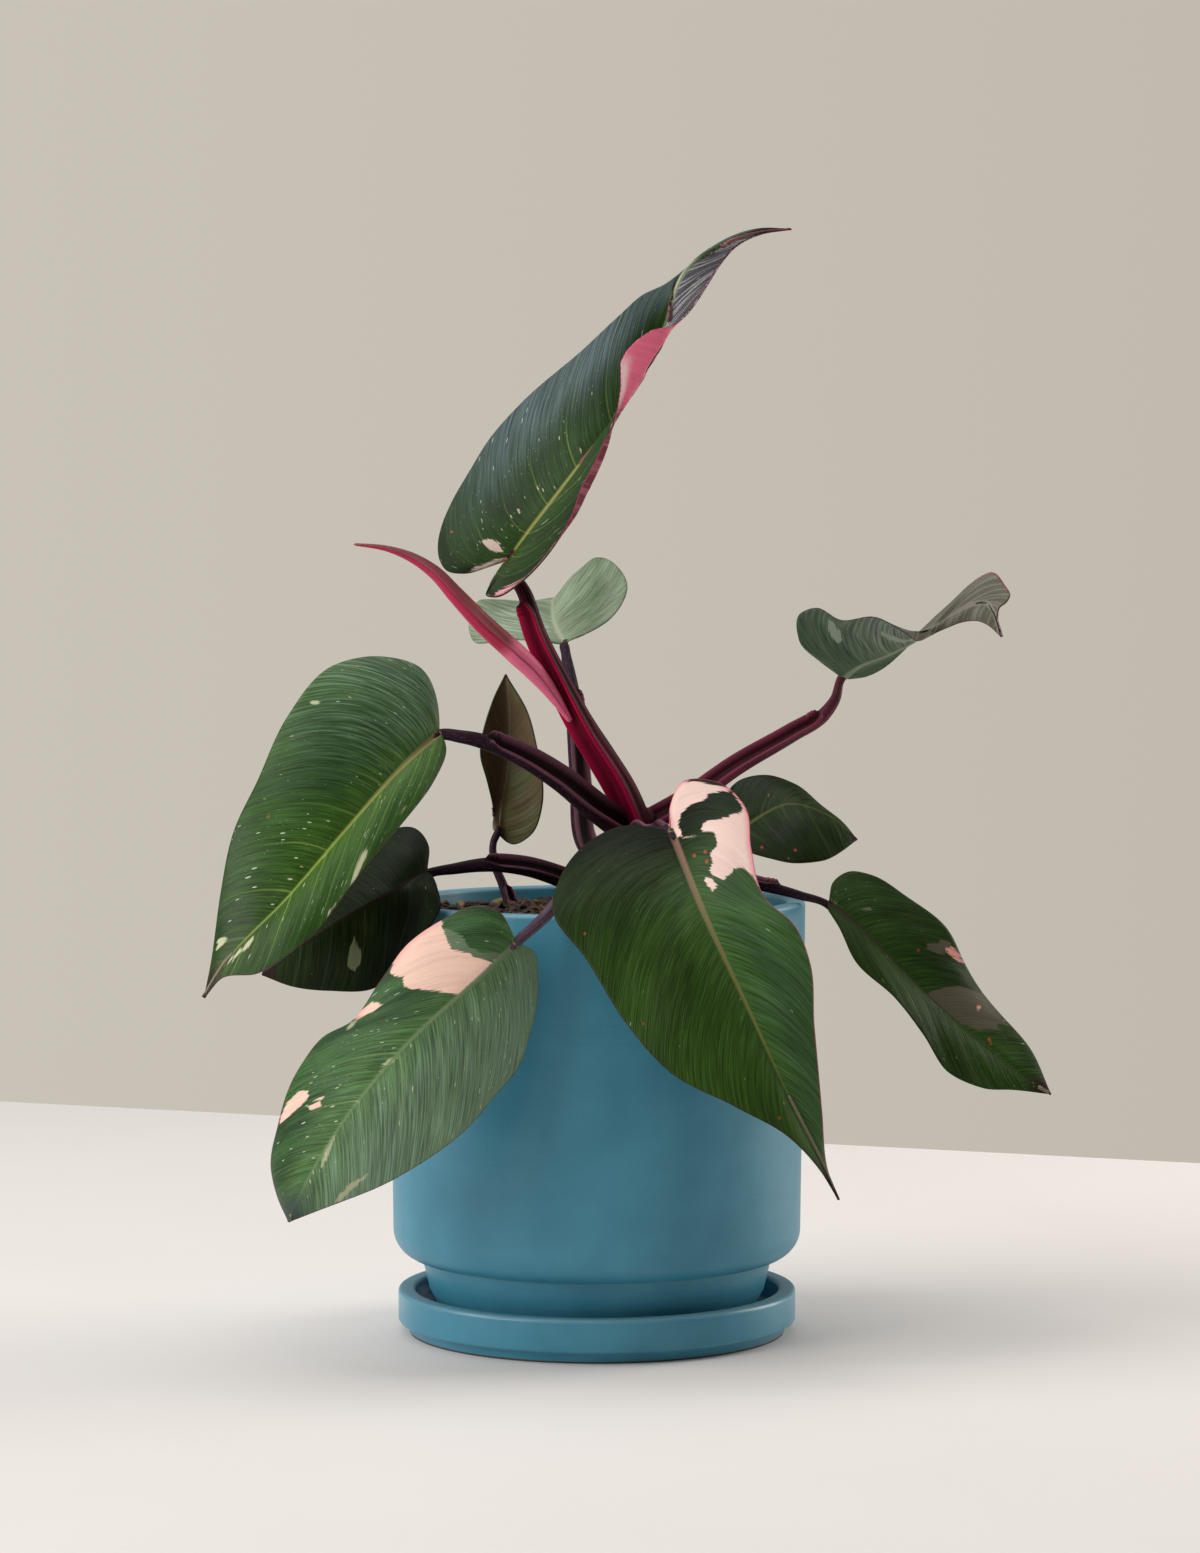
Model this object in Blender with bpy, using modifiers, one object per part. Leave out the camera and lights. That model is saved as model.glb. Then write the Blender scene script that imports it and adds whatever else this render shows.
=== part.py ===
"""Pink princess philodendron in a glazed pot that stands on its saucer.

Lengths below are millimetres unless a name says otherwise. The origin is the middle of the saucer's
underside, +Z is up, and the plant faces -Y. Leaves, petioles, stem, potting mix, pot and saucer are
separate closed solids.
"""

import math

import bmesh
import bpy
import numpy as np

MM = 0.001
GAP = 0.3

# Glazed pot and saucer
POT_TOP = 138.0
POT_RIM_RADIUS = 66.5
POT_LOW_RADIUS = 65.0
POT_WALL = 6.0
POT_CORNER = 9.0
POT_INNER_LOW = 58.0
POT_CAVITY_LOW = 46.0
POT_BODY_BOTTOM = 24.0
FOOT_TOP_RADIUS = 56.0
FOOT_MIDDLE = (53.6, 14.0)
FOOT_RADIUS = 49.0
FOOT_WALL = 7.0
FOOT_RECESS = 2.0
DRAIN_RADIUS = 6.0
RIM_ROUND = 1.2
SAUCER_RADIUS = 63.6
SAUCER_INNER = 58.0
SAUCER_HEIGHT = 14.0
SAUCER_FLOOR = 5.0
SAUCER_BASE_RADIUS = 60.0
SAUCER_SIDE_BOTTOM = 5.0
SAUCER_CORNER = 3.0
FOOT_EDGE = 0.8
INNER_CORNER = 4.0
INNER_SHELF = 5.0
TURN_STEPS = 36

# Potting mix
MIX_BELOW_RIM = 5.0
MIX_CLUMP = 1.1
MIX_CLEAR_OF_WALL = 1.0
MIX_RINGS = 8

# Blades
BLADE_THICKNESS = 0.8
ROWS = 16
COLUMNS_A_HALF = 4
FLAP_COLUMNS = 3
FLAP_RISE = 1.5

# Petioles
PETIOLE_SIDES = 12
JOIN = 0.7
WING_PLACE = 0.85
WING_SPREAD = 0.42
GROOVE_SPREAD = 0.5

# Each blade is lofted between three rails: its left margin, its midrib (rib) and its right margin, seen
# from its upper face with the tip up. A rail is a smooth curve through the places given here. Fan says
# how far the side veins crowd towards the petiole, bulge how far each half stands proud of a flat one
# as a share of its width, and wave is the height and the number of the margin's waves.
LEAVES = {
    "leaf_top": dict(
        rib=[(-28, -14, 246), (-22, -17, 254.3), (-13, -20, 265.8), (-4, -21, 277.3), (5, -19, 289),
             (11, -16, 301), (16.7, -12, 311.5), (21.8, -9, 320.2), (24.4, -6, 330.7), (27.7, -4, 337.3),
             (34.9, -1, 342.5), (42.8, 3, 347.6), (52.1, 8, 351), (62, 12, 352)],
        left=[(-30, -13, 246), (-35.3, -11, 243.8), (-42.6, -9, 242), (-47.6, -7, 243),
              (-49.6, -5.5, 246), (-50.2, -3.5, 252), (-49.4, -2.5, 256), (-46.4, -2, 263.6),
              (-40.5, -1, 274), (-34, -1.5, 284.4), (-23.6, -3, 296), (-4.1, -7, 312.6), (7.6, -8, 323.5),
              (14.1, -7, 329.4), (21.9, -5, 333.4), (28.4, -3, 338.7), (34.9, 0, 344.1), (42.9, 4, 349),
              (52.1, 8, 351.9), (62, 12, 352)],
        right=[(-29, -14.5, 245), (-31.5, -18, 240.5), (-34.5, -20, 235), (-32, -21.5, 234.5),
               (-23.2, -23, 239.5), (-16.8, -24, 245.9), (-11, -25, 253.6), (-5.9, -25.5, 260.6),
               (-2.7, -26, 267), (1.1, -26, 274.6), (3.9, -25, 282.3), (5.2, -24, 288),
               (8.8, -22.5, 293.9), (12, -20, 299.1), (15.9, -17, 305.4), (20.5, -13, 312.9),
               (24.1, -10, 319.1), (29, -7, 324.2), (34.9, -3, 332.9), (39.5, 1, 340.3), (44.2, 4, 345.7),
               (52.1, 8, 350), (62, 12, 352)],
        fan=1.7, bulge=0.05, wave=(0.0, 0),
        flap=[(0, (0, -0.7, 0)), (0.231, (0, -0.7, 0)), (0.298, (-1.6, -0.6, 0.6)),
              (0.338, (-2.5, -0.6, 0.9)), (0.385, (-2.5, -0.6, 0.6)), (0.431, (-1.9, -0.6, 0)),
              (0.464, (0, -0.8, 0)), (0.504, (-2.4, -0.8, -0.3)), (0.541, (-4.6, -1.2, 0.6)),
              (0.585, (-8.5, -1.8, 2.5)), (0.612, (-9.1, -2, 2.2)), (0.639, (-8.2, -1.8, 1.9)),
              (0.661, (-5, -1.4, 2.2)), (0.682, (-0.4, -0.9, 0.4)), (0.707, (0, -0.7, 0)),
              (1, (0, -0.7, 0))],
        rows=34,
    ),
    "leaf_left_upper": dict(
        rib=[(-49, -30, 192), (-58, -38, 184), (-76, -52, 164), (-94, -62, 143), (-112, -66, 124),
             (-119, -66, 113)],
        left=[(-48, -31, 191), (-47, -34, 188), (-50, -44, 178), (-61, -56, 164), (-75, -66, 146),
              (-89, -72, 130), (-102, -72, 121), (-114, -68, 119), (-119, -66, 113)],
        right=[(-50, -29, 193), (-50, -25, 201), (-55, -22, 212), (-67, -24, 216), (-82, -28, 213),
               (-96, -36, 197), (-105, -44, 177), (-111, -49, 163), (-115, -54, 144), (-118, -62, 119),
               (-119, -66, 113)],
        fan=1.7, bulge=0.09, wave=(0.8, 3),
    ),
    "leaf_front": dict(
        rib=[(23, -46, 162), (27, -60, 152), (32, -74, 140), (46, -88, 110), (58, -93, 84), (67, -92, 66),
             (72, -90, 55)],
        left=[(23, -45, 164), (23, -38, 170), (27, -34, 177), (37, -36, 177), (45, -44, 171),
              (47, -60, 158), (51, -72, 143), (60, -78, 135), (64, -82, 125), (65, -86, 107),
              (67, -90, 81), (69, -91, 63), (72, -90, 55)],
        right=[(21, -46, 162), (10, -46, 164), (-2, -54, 160), (-11, -66, 150), (-13, -76, 139),
               (-3, -84, 126), (9, -92, 108), (23, -98, 93), (41, -100, 84), (57, -98, 75), (66, -94, 65),
               (72, -90, 55)],
        fan=1.8, bulge=0.06, wave=(0.8, 3),
    ),
    "leaf_left_front": dict(
        rib=[(-24, -80, 131), (-34, -86, 122), (-56, -90, 102), (-72, -88, 83), (-87, -80, 59),
             (-93, -74, 46)],
        left=[(-23, -79, 130), (-19, -76, 128), (-18, -75, 121), (-20, -76, 104), (-23, -78, 94),
              (-31, -82, 85), (-41, -86, 74), (-60, -86, 61), (-77, -80, 53), (-93, -74, 46)],
        right=[(-26, -80, 132), (-29, -80, 140), (-36, -79, 142), (-46, -78, 138), (-56, -78, 131),
               (-64, -80, 120), (-73, -80, 108), (-83, -76, 102), (-89, -73, 93), (-96, -69, 76),
               (-99, -68, 62), (-97, -70, 54), (-93, -74, 46)],
        fan=1.7, bulge=0.08, wave=(0.9, 3),
    ),
    "leaf_left_dark": dict(
        rib=[(-53, -32, 149), (-66, -42, 142), (-79, -44, 135), (-93, -40, 126), (-104, -34, 117)],
        left=[(-51, -36, 148), (-49, -44, 144), (-48, -50, 139), (-53, -50, 131), (-61, -48, 124),
              (-67, -46, 115), (-83, -42, 113), (-95, -38, 114), (-104, -34, 117)],
        right=[(-53, -30, 150), (-53, -24, 157), (-58, -18, 162), (-67, -16, 161), (-81, -18, 152),
               (-93, -22, 139), (-102, -28, 127), (-104, -34, 117)],
        fan=1.6, bulge=0.05, wave=(0.6, 2),
    ),
    "leaf_right_low": dict(
        rib=[(73, -14, 138), (82, -18, 131), (102, -26, 111), (123, -30, 93), (135, -30, 83),
             (142, -29, 79)],
        left=[(74, -13, 139), (75, -9, 144), (80, -6, 147), (87, -6, 146), (98, -9, 140), (110, -12, 130),
              (116, -15, 119), (127, -20, 103), (137, -24, 91), (142, -29, 79)],
        right=[(73, -15, 136), (76, -20, 131), (81, -28, 121), (93, -34, 109), (102, -38, 99),
               (109, -39, 87), (120, -37, 82), (130, -33, 81), (142, -29, 79)],
        fan=1.5, bulge=0.05, wave=(0.8, 3),
    ),
    "leaf_right_rear": dict(
        rib=[(43, 22, 156), (50, 24, 161), (63, 26, 167), (74, 22, 164), (84, 16, 156)],
        left=[(42, 24, 158), (41, 34, 166), (47, 40, 174), (56, 42, 176), (65, 40, 173), (73, 34, 166),
              (80, 26, 161), (84, 16, 156)],
        right=[(43, 20, 155), (47, 14, 153), (55, 8, 151), (64, 4, 149), (72, 5, 150), (79, 10, 153),
               (84, 16, 156)],
        fan=1.5, bulge=0.06, wave=(0.5, 2),
    ),
    "leaf_rear_small": dict(
        rib=[(-33, 42, 157), (-32, 43, 166), (-30, 44, 177), (-29, 43, 196), (-30, 40, 209)],
        left=[(-32, 42, 156), (-28, 42, 153), (-22, 40, 156), (-18, 38, 166), (-18, 37, 177),
              (-20, 37, 186), (-23, 38, 197), (-30, 40, 209)],
        right=[(-34, 42, 160), (-34, 40, 166), (-36, 37, 174), (-38, 36, 183), (-37, 37, 191),
               (-34, 39, 201), (-30, 40, 209)],
        fan=1.5, bulge=0.04, wave=(0.3, 2),
    ),
    "leaf_rear_pale": dict(
        rib=[(-11, 50, 219), (-14, 62, 225), (-15, 78, 231), (-14, 96, 234), (-13, 114, 226)],
        left=[(-13, 51, 219), (-20, 50, 220), (-30, 52, 220), (-40, 58, 219), (-43, 68, 225),
              (-40, 80, 233), (-31, 92, 231), (-22, 104, 230), (-13, 114, 226)],
        right=[(-10, 51, 220), (-4, 50, 222), (3, 52, 226), (8, 58, 232), (10, 66, 239), (5, 76, 246),
               (-1, 86, 247), (-7, 96, 242), (-11, 106, 235), (-13, 114, 226)],
        fan=1.6, bulge=0.03, wave=(0.5, 2),
    ),
    "leaf_right_twisted": dict(
        rib=[(80, 24, 208), (84.5, 21.5, 211.5), (93, 20, 215), (103.2, 21, 220.2), (107.9, 22, 223.6),
             (112.5, 23, 227), (117.6, 22, 230.1), (121.9, 20, 232.1), (125.5, 17, 232.5),
             (127.4, 13, 230), (129.6, 10, 221.8)],
        left=[(79, 24, 209), (72, 20, 214), (65, 14, 221), (65, 10, 229), (70, 8, 231), (78, 7, 227),
              (89, 9, 228), (99, 12, 223), (103.5, 17, 220.5), (107.4, 20, 222), (112.3, 21, 224.1),
              (118.4, 21, 226.3), (122.5, 19, 226.7), (125.8, 15, 225.5), (129.6, 10, 221.8)],
        right=[(82, 25, 208), (88, 26, 209), (94, 28, 212), (100, 31, 217), (104.5, 30, 221.5),
               (109, 28, 227), (115.2, 26, 233), (121.1, 24, 238.5), (125.7, 21, 241.8),
               (127.6, 19, 242.5), (131.2, 15, 238.5), (132.7, 12, 234.8), (131.3, 11, 232.7),
               (129.3, 12, 231), (128.8, 11.5, 228.1), (129.6, 10, 221.8)],
        fan=1.5, bulge=0.03, wave=(0.3, 2),
    ),
}

# A petiole runs along a smooth curve through its places, from inside the stem on to its own blade's
# midrib, where it stops just short. Radii go from base to tip. Its lower part, up to the share of its
# length given by sheath, is a sheath: two wings stand wing above the round on the side that faces
# towards, with a groove between them.
PETIOLES = {
    "petiole_top": dict(
        path=[(14, -4, 160), (8.5, -7, 173.5), (2, -10, 184.5), (-3.3, -13, 193), (-12.6, -15, 210.5),
              (-18.3, -15, 222.5), (-22.5, -14.5, 235)],
        radii=(4.6, 2.4, 1.6), sheath=0.86, wing=2.0, groove=1.6, towards=(-0.7, -0.7, 0.0)),
    "petiole_left_upper": dict(
        path=[(12, -3, 158), (0, -12, 167), (-12, -18, 177), (-23, -22, 184), (-34, -26, 189),
              (-42, -29, 191)],
        radii=(4.4, 2.4, 1.7), sheath=0.81, wing=2.0, groove=1.6, towards=(0.0, -0.75, 0.75)),
    "petiole_left_dark": dict(
        path=[(7, -2, 138), (-4, -10, 142), (-12, -16, 146), (-24, -24, 150), (-34, -28, 151),
              (-44, -31, 150)],
        radii=(3.4, 2.2, 1.4), sheath=0.74, wing=1.4, groove=1.2, towards=(0.0, -0.75, 0.75)),
    "petiole_left_front": dict(
        path=[(8, -8, 146), (4, -26, 149), (-2, -48, 148), (-10, -64, 144), (-16, -74, 138)],
        radii=(3.0, 2.0, 1.5), sheath=0.72, wing=1.2, groove=0.8, towards=(0.3, -0.5, 0.8)),
    "petiole_front": dict(
        path=[(14, -5, 157), (16, -18, 161), (20, -34, 160)],
        radii=(4.6, 3.2, 1.9), sheath=0.7, wing=1.6, groove=1.4, towards=(0.0, 0.0, 1.0)),
    "petiole_right_twisted": dict(
        path=[(16, -3, 162), (30, 0, 170), (45, 8, 180), (63, 16, 190), (73, 20, 196), (77, 22, 201)],
        radii=(3.2, 2.2, 1.3), sheath=0.83, wing=1.6, groove=1.3, towards=(-0.3, -0.8, 0.6)),
    "petiole_right_low": dict(
        path=[(10, -4, 144), (33, -16, 147.5), (51, -18, 144), (64, -16, 140.5)],
        radii=(3.2, 1.6, 1.1), sheath=0.76, wing=1.6, groove=1.0, towards=(0.0, -0.3, 1.0)),
    "petiole_right_rear": dict(
        path=[(12, 0, 151), (22, 8, 155), (34, 17, 156)],
        radii=(3.0, 2.2, 1.4), sheath=0.6, wing=1.2, groove=0.8, towards=(0.0, 0.0, 1.0)),
    "petiole_rear_pale": dict(
        path=[(9, 1, 146), (-3, 12, 154), (-6, 26, 176), (-8, 38, 201), (-10, 47, 214)],
        radii=(3.2, 2.6, 1.5), sheath=0.8, wing=1.4, groove=1.2, towards=(0.5, -1.0, 0.0)),
    "petiole_rear_small": dict(
        path=[(-26, 37, 122), (-28, 38, 132), (-31, 39, 140), (-34, 40, 148), (-34, 41, 154)],
        radii=(2.8, 1.5, 1.1), sheath=0.5, wing=1.0, groove=0.7, towards=(0.6, -0.6, 0.3)),
}

STEM_PATH = [(3, 2, 96), (4, 2, 116), (6, 1, 134), (10, -1, 150), (14, -3, 162), (15, -4, 168)]
STEM_RADII = (5.0, 5.8, 4.2)
STEM_SIDES = 16
STEM_STATIONS = [0.0, 0.01, 0.05, 0.2, 0.4, 0.55, 0.7, 0.82, 0.92, 0.97, 0.99, 1.0]
ROLL_SIDES = 12
ROLL_STATIONS = [0.0, 0.02, 0.1, 0.2, 0.3, 0.4, 0.5, 0.6, 0.7, 0.8, 0.9, 0.97, 1.0]
ROLL_PATH = [(-76, -26, 251), (-65, -27, 249.5), (-58, -27, 247), (-51, -27, 242.5), (-43.8, -27, 234.9),
             (-35.5, -25.5, 226.1), (-25.9, -22.5, 217.2), (-20, -20, 211.5), (-14, -17.5, 204),
             (-8, -15, 195)]
ROLL_RADII = [(0.0, 0.5), (0.12, 1.0), (0.2, 1.6), (0.29, 2.2), (0.41, 2.8), (0.54, 3.3), (0.7, 3.5),
              (0.78, 3.2), (0.9, 2.0), (1.0, 0.8)]

COLOURS = {
    "glaze_blue": ("4B7686", 0.45),
    "bark_mix": ("4A3526", 0.95),
    "stem_purple": ("3A2230", 0.5),
    "petiole_dark": ("3A1F2C", 0.45),
    "petiole_crimson": ("6A1030", 0.4),
    "blade_green": ("2F4A2C", 0.4),
    "blade_dark": ("24331F", 0.4),
    "blade_pale": ("8FA68C", 0.5),
    "new_leaf_pink": ("B03050", 0.4),
}


def linear(hex_colour):
    """An sRGB hex colour as linear RGBA."""
    parts = [int(hex_colour[i:i + 2], 16) / 255 for i in (0, 2, 4)]
    return [c / 12.92 if c <= 0.04045 else ((c + 0.055) / 1.055) ** 2.4 for c in parts] + [1.0]


def material(name):
    """The plain finish of that name, made once."""
    found = bpy.data.materials.get(name)
    if found:
        return found
    colour, roughness = COLOURS[name]
    made = bpy.data.materials.new(name)
    made.use_nodes = True
    shader = made.node_tree.nodes["Principled BSDF"]
    shader.inputs["Base Color"].default_value = linear(colour)
    shader.inputs["Roughness"].default_value = roughness
    made.diffuse_color = linear(colour)
    return made


def clear_scene():
    for thing in list(bpy.data.objects):
        bpy.data.objects.remove(thing)


def new_collection(name):
    made = bpy.data.collections.new(name)
    bpy.context.scene.collection.children.link(made)
    return made


def keep(thing, name, collection, finish):
    """Name an object, give it its finish and put it in its collection."""
    thing.name = name
    thing.data.name = name
    thing.data.materials.clear()
    thing.data.materials.append(material(finish))
    for owner in list(thing.users_collection):
        owner.objects.unlink(thing)
    collection.objects.link(thing)
    return thing


def hide_cutter(thing):
    thing.hide_render = True
    thing.display_type = "WIRE"
    return thing


def unit(vectors):
    length = np.linalg.norm(vectors, axis=-1, keepdims=True)
    return vectors / np.maximum(length, 1e-9)


def along(points, fractions):
    """Places at the given shares of the length of a smooth curve through the points."""
    p = np.array(points, float)
    steps = np.linalg.norm(np.diff(p, axis=0), axis=1)
    knots = np.concatenate([[0.0], np.cumsum(steps)]) / steps.sum()
    slopes = np.empty_like(p)
    chords = np.diff(p, axis=0) / np.diff(knots)[:, None]
    before, after = np.diff(knots)[:-1, None], np.diff(knots)[1:, None]
    slopes[1:-1] = (chords[:-1] * after + chords[1:] * before) / (before + after)
    slopes[0], slopes[-1] = chords[0], chords[-1]
    t = np.clip(np.asarray(fractions, float), 0.0, 1.0)
    i = np.clip(np.searchsorted(knots, t, side="right") - 1, 0, len(p) - 2)
    span = (knots[i + 1] - knots[i])[..., None]
    h = (t - knots[i])[..., None] / span
    return ((2 * h**3 - 3 * h**2 + 1) * p[i] + (h**3 - 2 * h**2 + h) * span * slopes[i]
            + (3 * h**2 - 2 * h**3) * p[i + 1] + (h**3 - h**2) * span * slopes[i + 1])


def blade_place(leaf, u, v):
    """Places on a blade: u from the petiole (0) to the tip (1), v from the left margin (-1) to the
    right margin (1), and on to 2 over a flap that folds in over the upper face. A flap lists, by u,
    how far and which way it reaches from the fold to its free edge."""
    start = u ** leaf["fan"]
    origin = along(leaf["rib"], start)
    ahead = unit(along(leaf["rib"], start + 0.02) - along(leaf["rib"], start - 0.02))
    right = v >= 0
    edge = np.where(right[:, None], along(leaf["right"], u), along(leaf["left"], u))
    share = np.minimum(np.abs(v), 1.0)[:, None]
    outward = edge - origin
    width = np.linalg.norm(outward, axis=1, keepdims=True)
    side = np.where(right, 1.0, -1.0)[:, None]
    upward = unit(np.cross(outward, ahead) * side)
    wave_height, wave_count = leaf["wave"]
    ripple = np.sin(2 * math.pi * wave_count * u + side[:, 0]) * np.sin(math.pi * u)
    place = origin + outward * share
    place = place + upward * leaf["bulge"] * width * 4 * share * (1 - share)
    place = place + upward * wave_height * ripple[:, None] * share**2
    if "flap" not in leaf:
        return place
    stations, vectors = zip(*leaf["flap"])
    fold = np.stack([np.interp(u, stations, [vector[k] for vector in vectors]) for k in range(3)], axis=1)
    reach = np.clip(v - 1.0, 0.0, 1.0)
    rise = FLAP_RISE * np.clip(np.linalg.norm(fold, axis=1) / 3 - 0.3, 0.0, 1.0)
    place = place + fold * reach[:, None]
    place[:, 1] -= rise * np.sqrt(1 - (1 - reach) ** 2)
    return place


def blade(name, leaf, finish, collection):
    """One blade: a grid laid over its rails, split into triangles, then given its thickness."""
    columns = list(np.linspace(-1, 1, 2 * COLUMNS_A_HALF + 1))
    if "flap" in leaf:
        columns += [1 + (i + 1) / FLAP_COLUMNS for i in range(FLAP_COLUMNS)]
    across = len(columns) - 1
    rows = leaf.get("rows", ROWS)
    bpy.ops.mesh.primitive_grid_add(x_subdivisions=across, y_subdivisions=rows, size=2)
    sheet = bpy.context.active_object
    grid = np.array([vertex.co for vertex in sheet.data.vertices])
    v = np.array(columns)[np.rint((grid[:, 0] + 1) / 2 * across).astype(int)]
    u = np.rint((grid[:, 1] + 1) / 2 * rows) / rows
    places = blade_place(leaf, u, v) * MM
    for vertex, place in zip(sheet.data.vertices, places):
        vertex.co = place
    shell = bmesh.new()
    shell.from_mesh(sheet.data)
    bmesh.ops.remove_doubles(shell, verts=shell.verts, dist=0.02 * MM)
    bmesh.ops.triangulate(shell, faces=shell.faces)
    shell.to_mesh(sheet.data)
    shell.free()
    thickness = sheet.modifiers.new("thickness", "SOLIDIFY")
    thickness.thickness = BLADE_THICKNESS * MM
    thickness.offset = 0
    sheet.data.shade_smooth()
    return keep(sheet, name, collection, finish)


def tube(rings, sides, place):
    """A closed tube from a UV sphere: place(share of the length, angle) gives each point in mm."""
    bpy.ops.mesh.primitive_uv_sphere_add(segments=sides, ring_count=len(rings) - 1, radius=1)
    thing = bpy.context.active_object
    last = len(rings) - 1
    for vertex in thing.data.vertices:
        x, y, z = vertex.co
        ring = round(math.acos(max(-1.0, min(1.0, -z))) / math.pi * last)
        vertex.co = place(rings[ring], math.atan2(y, x)) * MM
    thing.data.shade_smooth()
    shell = bmesh.new()
    shell.from_mesh(thing.data)
    bmesh.ops.recalc_face_normals(shell, faces=shell.faces)
    shell.to_mesh(thing.data)
    shell.free()
    return thing


def tube_frame(path, share, towards, grow=0.0):
    """Place, and the two cross directions of a tube, the first of which leans towards a direction.
    A grown tube also reaches further at its two ends."""
    here = along(path, np.array([share]))[0]
    run = unit(along(path, np.array([share + 0.02]))[0] - along(path, np.array([share - 0.02]))[0])
    if share in (0.0, 1.0):
        here = here + run * grow * (2 * share - 1)
    towards = np.array(towards, float)
    first = unit(towards - run * (towards @ run))
    return here, first, np.cross(run, first)


def end_radius(radius, share, length, round_length, grow):
    """The radius of a tube whose two ends are rounded, nothing at the poles themselves."""
    edge = min(share, 1 - share) * length
    if edge <= 0:
        return 0.0
    if edge < round_length:
        radius *= math.sqrt(1 - (1 - edge / round_length) ** 2)
    return radius + grow


def path_length(path):
    p = np.array(path, float)
    return float(np.linalg.norm(np.diff(p, axis=0), axis=1).sum())


def petiole(name, grow=0.0):
    """A petiole with its sheath: a round tube whose lower part carries two wings beside a groove."""
    spec = PETIOLES[name]
    joint = np.array(LEAVES[name.replace("petiole", "leaf")]["rib"][0], float)
    path = spec["path"] + [joint - unit(joint - np.array(spec["path"][-1])) * JOIN]
    length = path_length(path)
    end = spec["sheath"]
    base_radius, middle_radius, tip_radius = spec["radii"]

    def place(share, angle):
        here, first, second = tube_frame(path, share, spec["towards"], grow)
        radius = np.interp(share, (0, end, 1), (base_radius, middle_radius, tip_radius))
        sheath = np.clip((end - share) / 0.04, 0, 1)
        wing = spec["wing"] * sheath
        groove = spec["groove"] * sheath
        swing = abs(angle)
        radius += wing * math.exp(-(((swing - WING_PLACE) / WING_SPREAD) ** 2))
        radius -= groove * math.exp(-((swing / GROOVE_SPREAD) ** 2))
        radius = end_radius(radius, share, length, tip_radius, grow)
        return here + (first * math.cos(angle) + second * math.sin(angle)) * radius

    even = np.linspace(0.08, 0.95, 9)
    rings = sorted([0.0, 0.02, *even, end - 0.03, end + 0.01, 0.985, 1.0])
    return tube(rings, PETIOLE_SIDES, place)


def stem(grow=0.0):
    length = path_length(STEM_PATH)

    def place(share, angle):
        here, first, second = tube_frame(STEM_PATH, share, (1, 0, 0), grow)
        radius = np.interp(share, (0, 0.6, 1), STEM_RADII)
        radius = end_radius(radius, share, length, 4.0, grow)
        return here + (first * math.cos(angle) + second * math.sin(angle)) * radius

    return tube(STEM_STATIONS, STEM_SIDES, place)


def rolled_leaf(grow=0.0):
    """The newest leaf, still rolled into a spike, from its tip down into the top sheath."""
    stations, radii = zip(*ROLL_RADII)
    length = path_length(ROLL_PATH)

    def place(share, angle):
        here, first, second = tube_frame(ROLL_PATH, share, (0, -1, 0), grow)
        seam = 1 - 0.16 * math.exp(-((angle / 0.35) ** 2))
        radius = end_radius(np.interp(share, stations, radii) * seam, share, length, 0.1, grow)
        return here + (first * math.cos(angle) + second * math.sin(angle)) * radius

    return tube(ROLL_STATIONS, ROLL_SIDES, place)


def subtract(thing, cutter):
    cut = thing.modifiers.new("cut", "BOOLEAN")
    cut.operation = "DIFFERENCE"
    cut.solver = "EXACT"
    cut.object = cutter


def turned(name, outline, finish, collection):
    """A turned piece: its half outline, given from the top outside down and round, spun about Z."""
    shell = bpy.data.meshes.new(name)
    count = len(outline)
    shell.from_pydata([(r * MM, 0, z * MM) for r, z in outline],
                      [(i, (i + 1) % count) for i in range(count)], [])
    thing = bpy.data.objects.new(name, shell)
    collection.objects.link(thing)
    spin = thing.modifiers.new("spin", "SCREW")
    spin.steps = TURN_STEPS
    spin.render_steps = TURN_STEPS
    spin.use_merge_vertices = True
    spin.merge_threshold = 0.00001
    spin.use_smooth_shade = True
    shell.materials.append(material(finish))
    return thing


def arc(centre, radius, start, end, pieces):
    """Points of an arc in the half outline, angles in degrees."""
    points = []
    for i in range(pieces + 1):
        angle = math.radians(start + (end - start) * i / pieces)
        points.append((centre[0] + radius * math.cos(angle), centre[1] + radius * math.sin(angle)))
    return points


def pot(collection):
    foot_bottom = SAUCER_FLOOR + GAP
    inner_rim = POT_RIM_RADIUS - POT_WALL
    inner_foot = FOOT_RADIUS - FOOT_WALL
    recess = foot_bottom + FOOT_RECESS
    floor = recess + POT_WALL
    outline = arc((POT_RIM_RADIUS - RIM_ROUND, POT_TOP - RIM_ROUND), RIM_ROUND, 90, 0, 2)
    outline += arc((POT_LOW_RADIUS - POT_CORNER, POT_BODY_BOTTOM + POT_CORNER), POT_CORNER, 0, -80, 4)
    outline += [(FOOT_TOP_RADIUS, POT_BODY_BOTTOM), FOOT_MIDDLE, (FOOT_RADIUS, foot_bottom + FOOT_EDGE),
                (FOOT_RADIUS - FOOT_EDGE, foot_bottom), (inner_foot, foot_bottom),
                (inner_foot - FOOT_EDGE, recess), (DRAIN_RADIUS, recess), (DRAIN_RADIUS, floor)]
    outline += arc((POT_CAVITY_LOW - INNER_CORNER, floor + INNER_CORNER), INNER_CORNER, -90, 0, 2)
    outline += [(FOOT_TOP_RADIUS - FOOT_WALL, POT_BODY_BOTTOM + INNER_CORNER),
                (POT_INNER_LOW, POT_BODY_BOTTOM + POT_CORNER + INNER_SHELF)]
    outline += arc((inner_rim + RIM_ROUND, POT_TOP - RIM_ROUND), RIM_ROUND, 180, 90, 2)
    return turned("pot", outline, "glaze_blue", collection)


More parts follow.
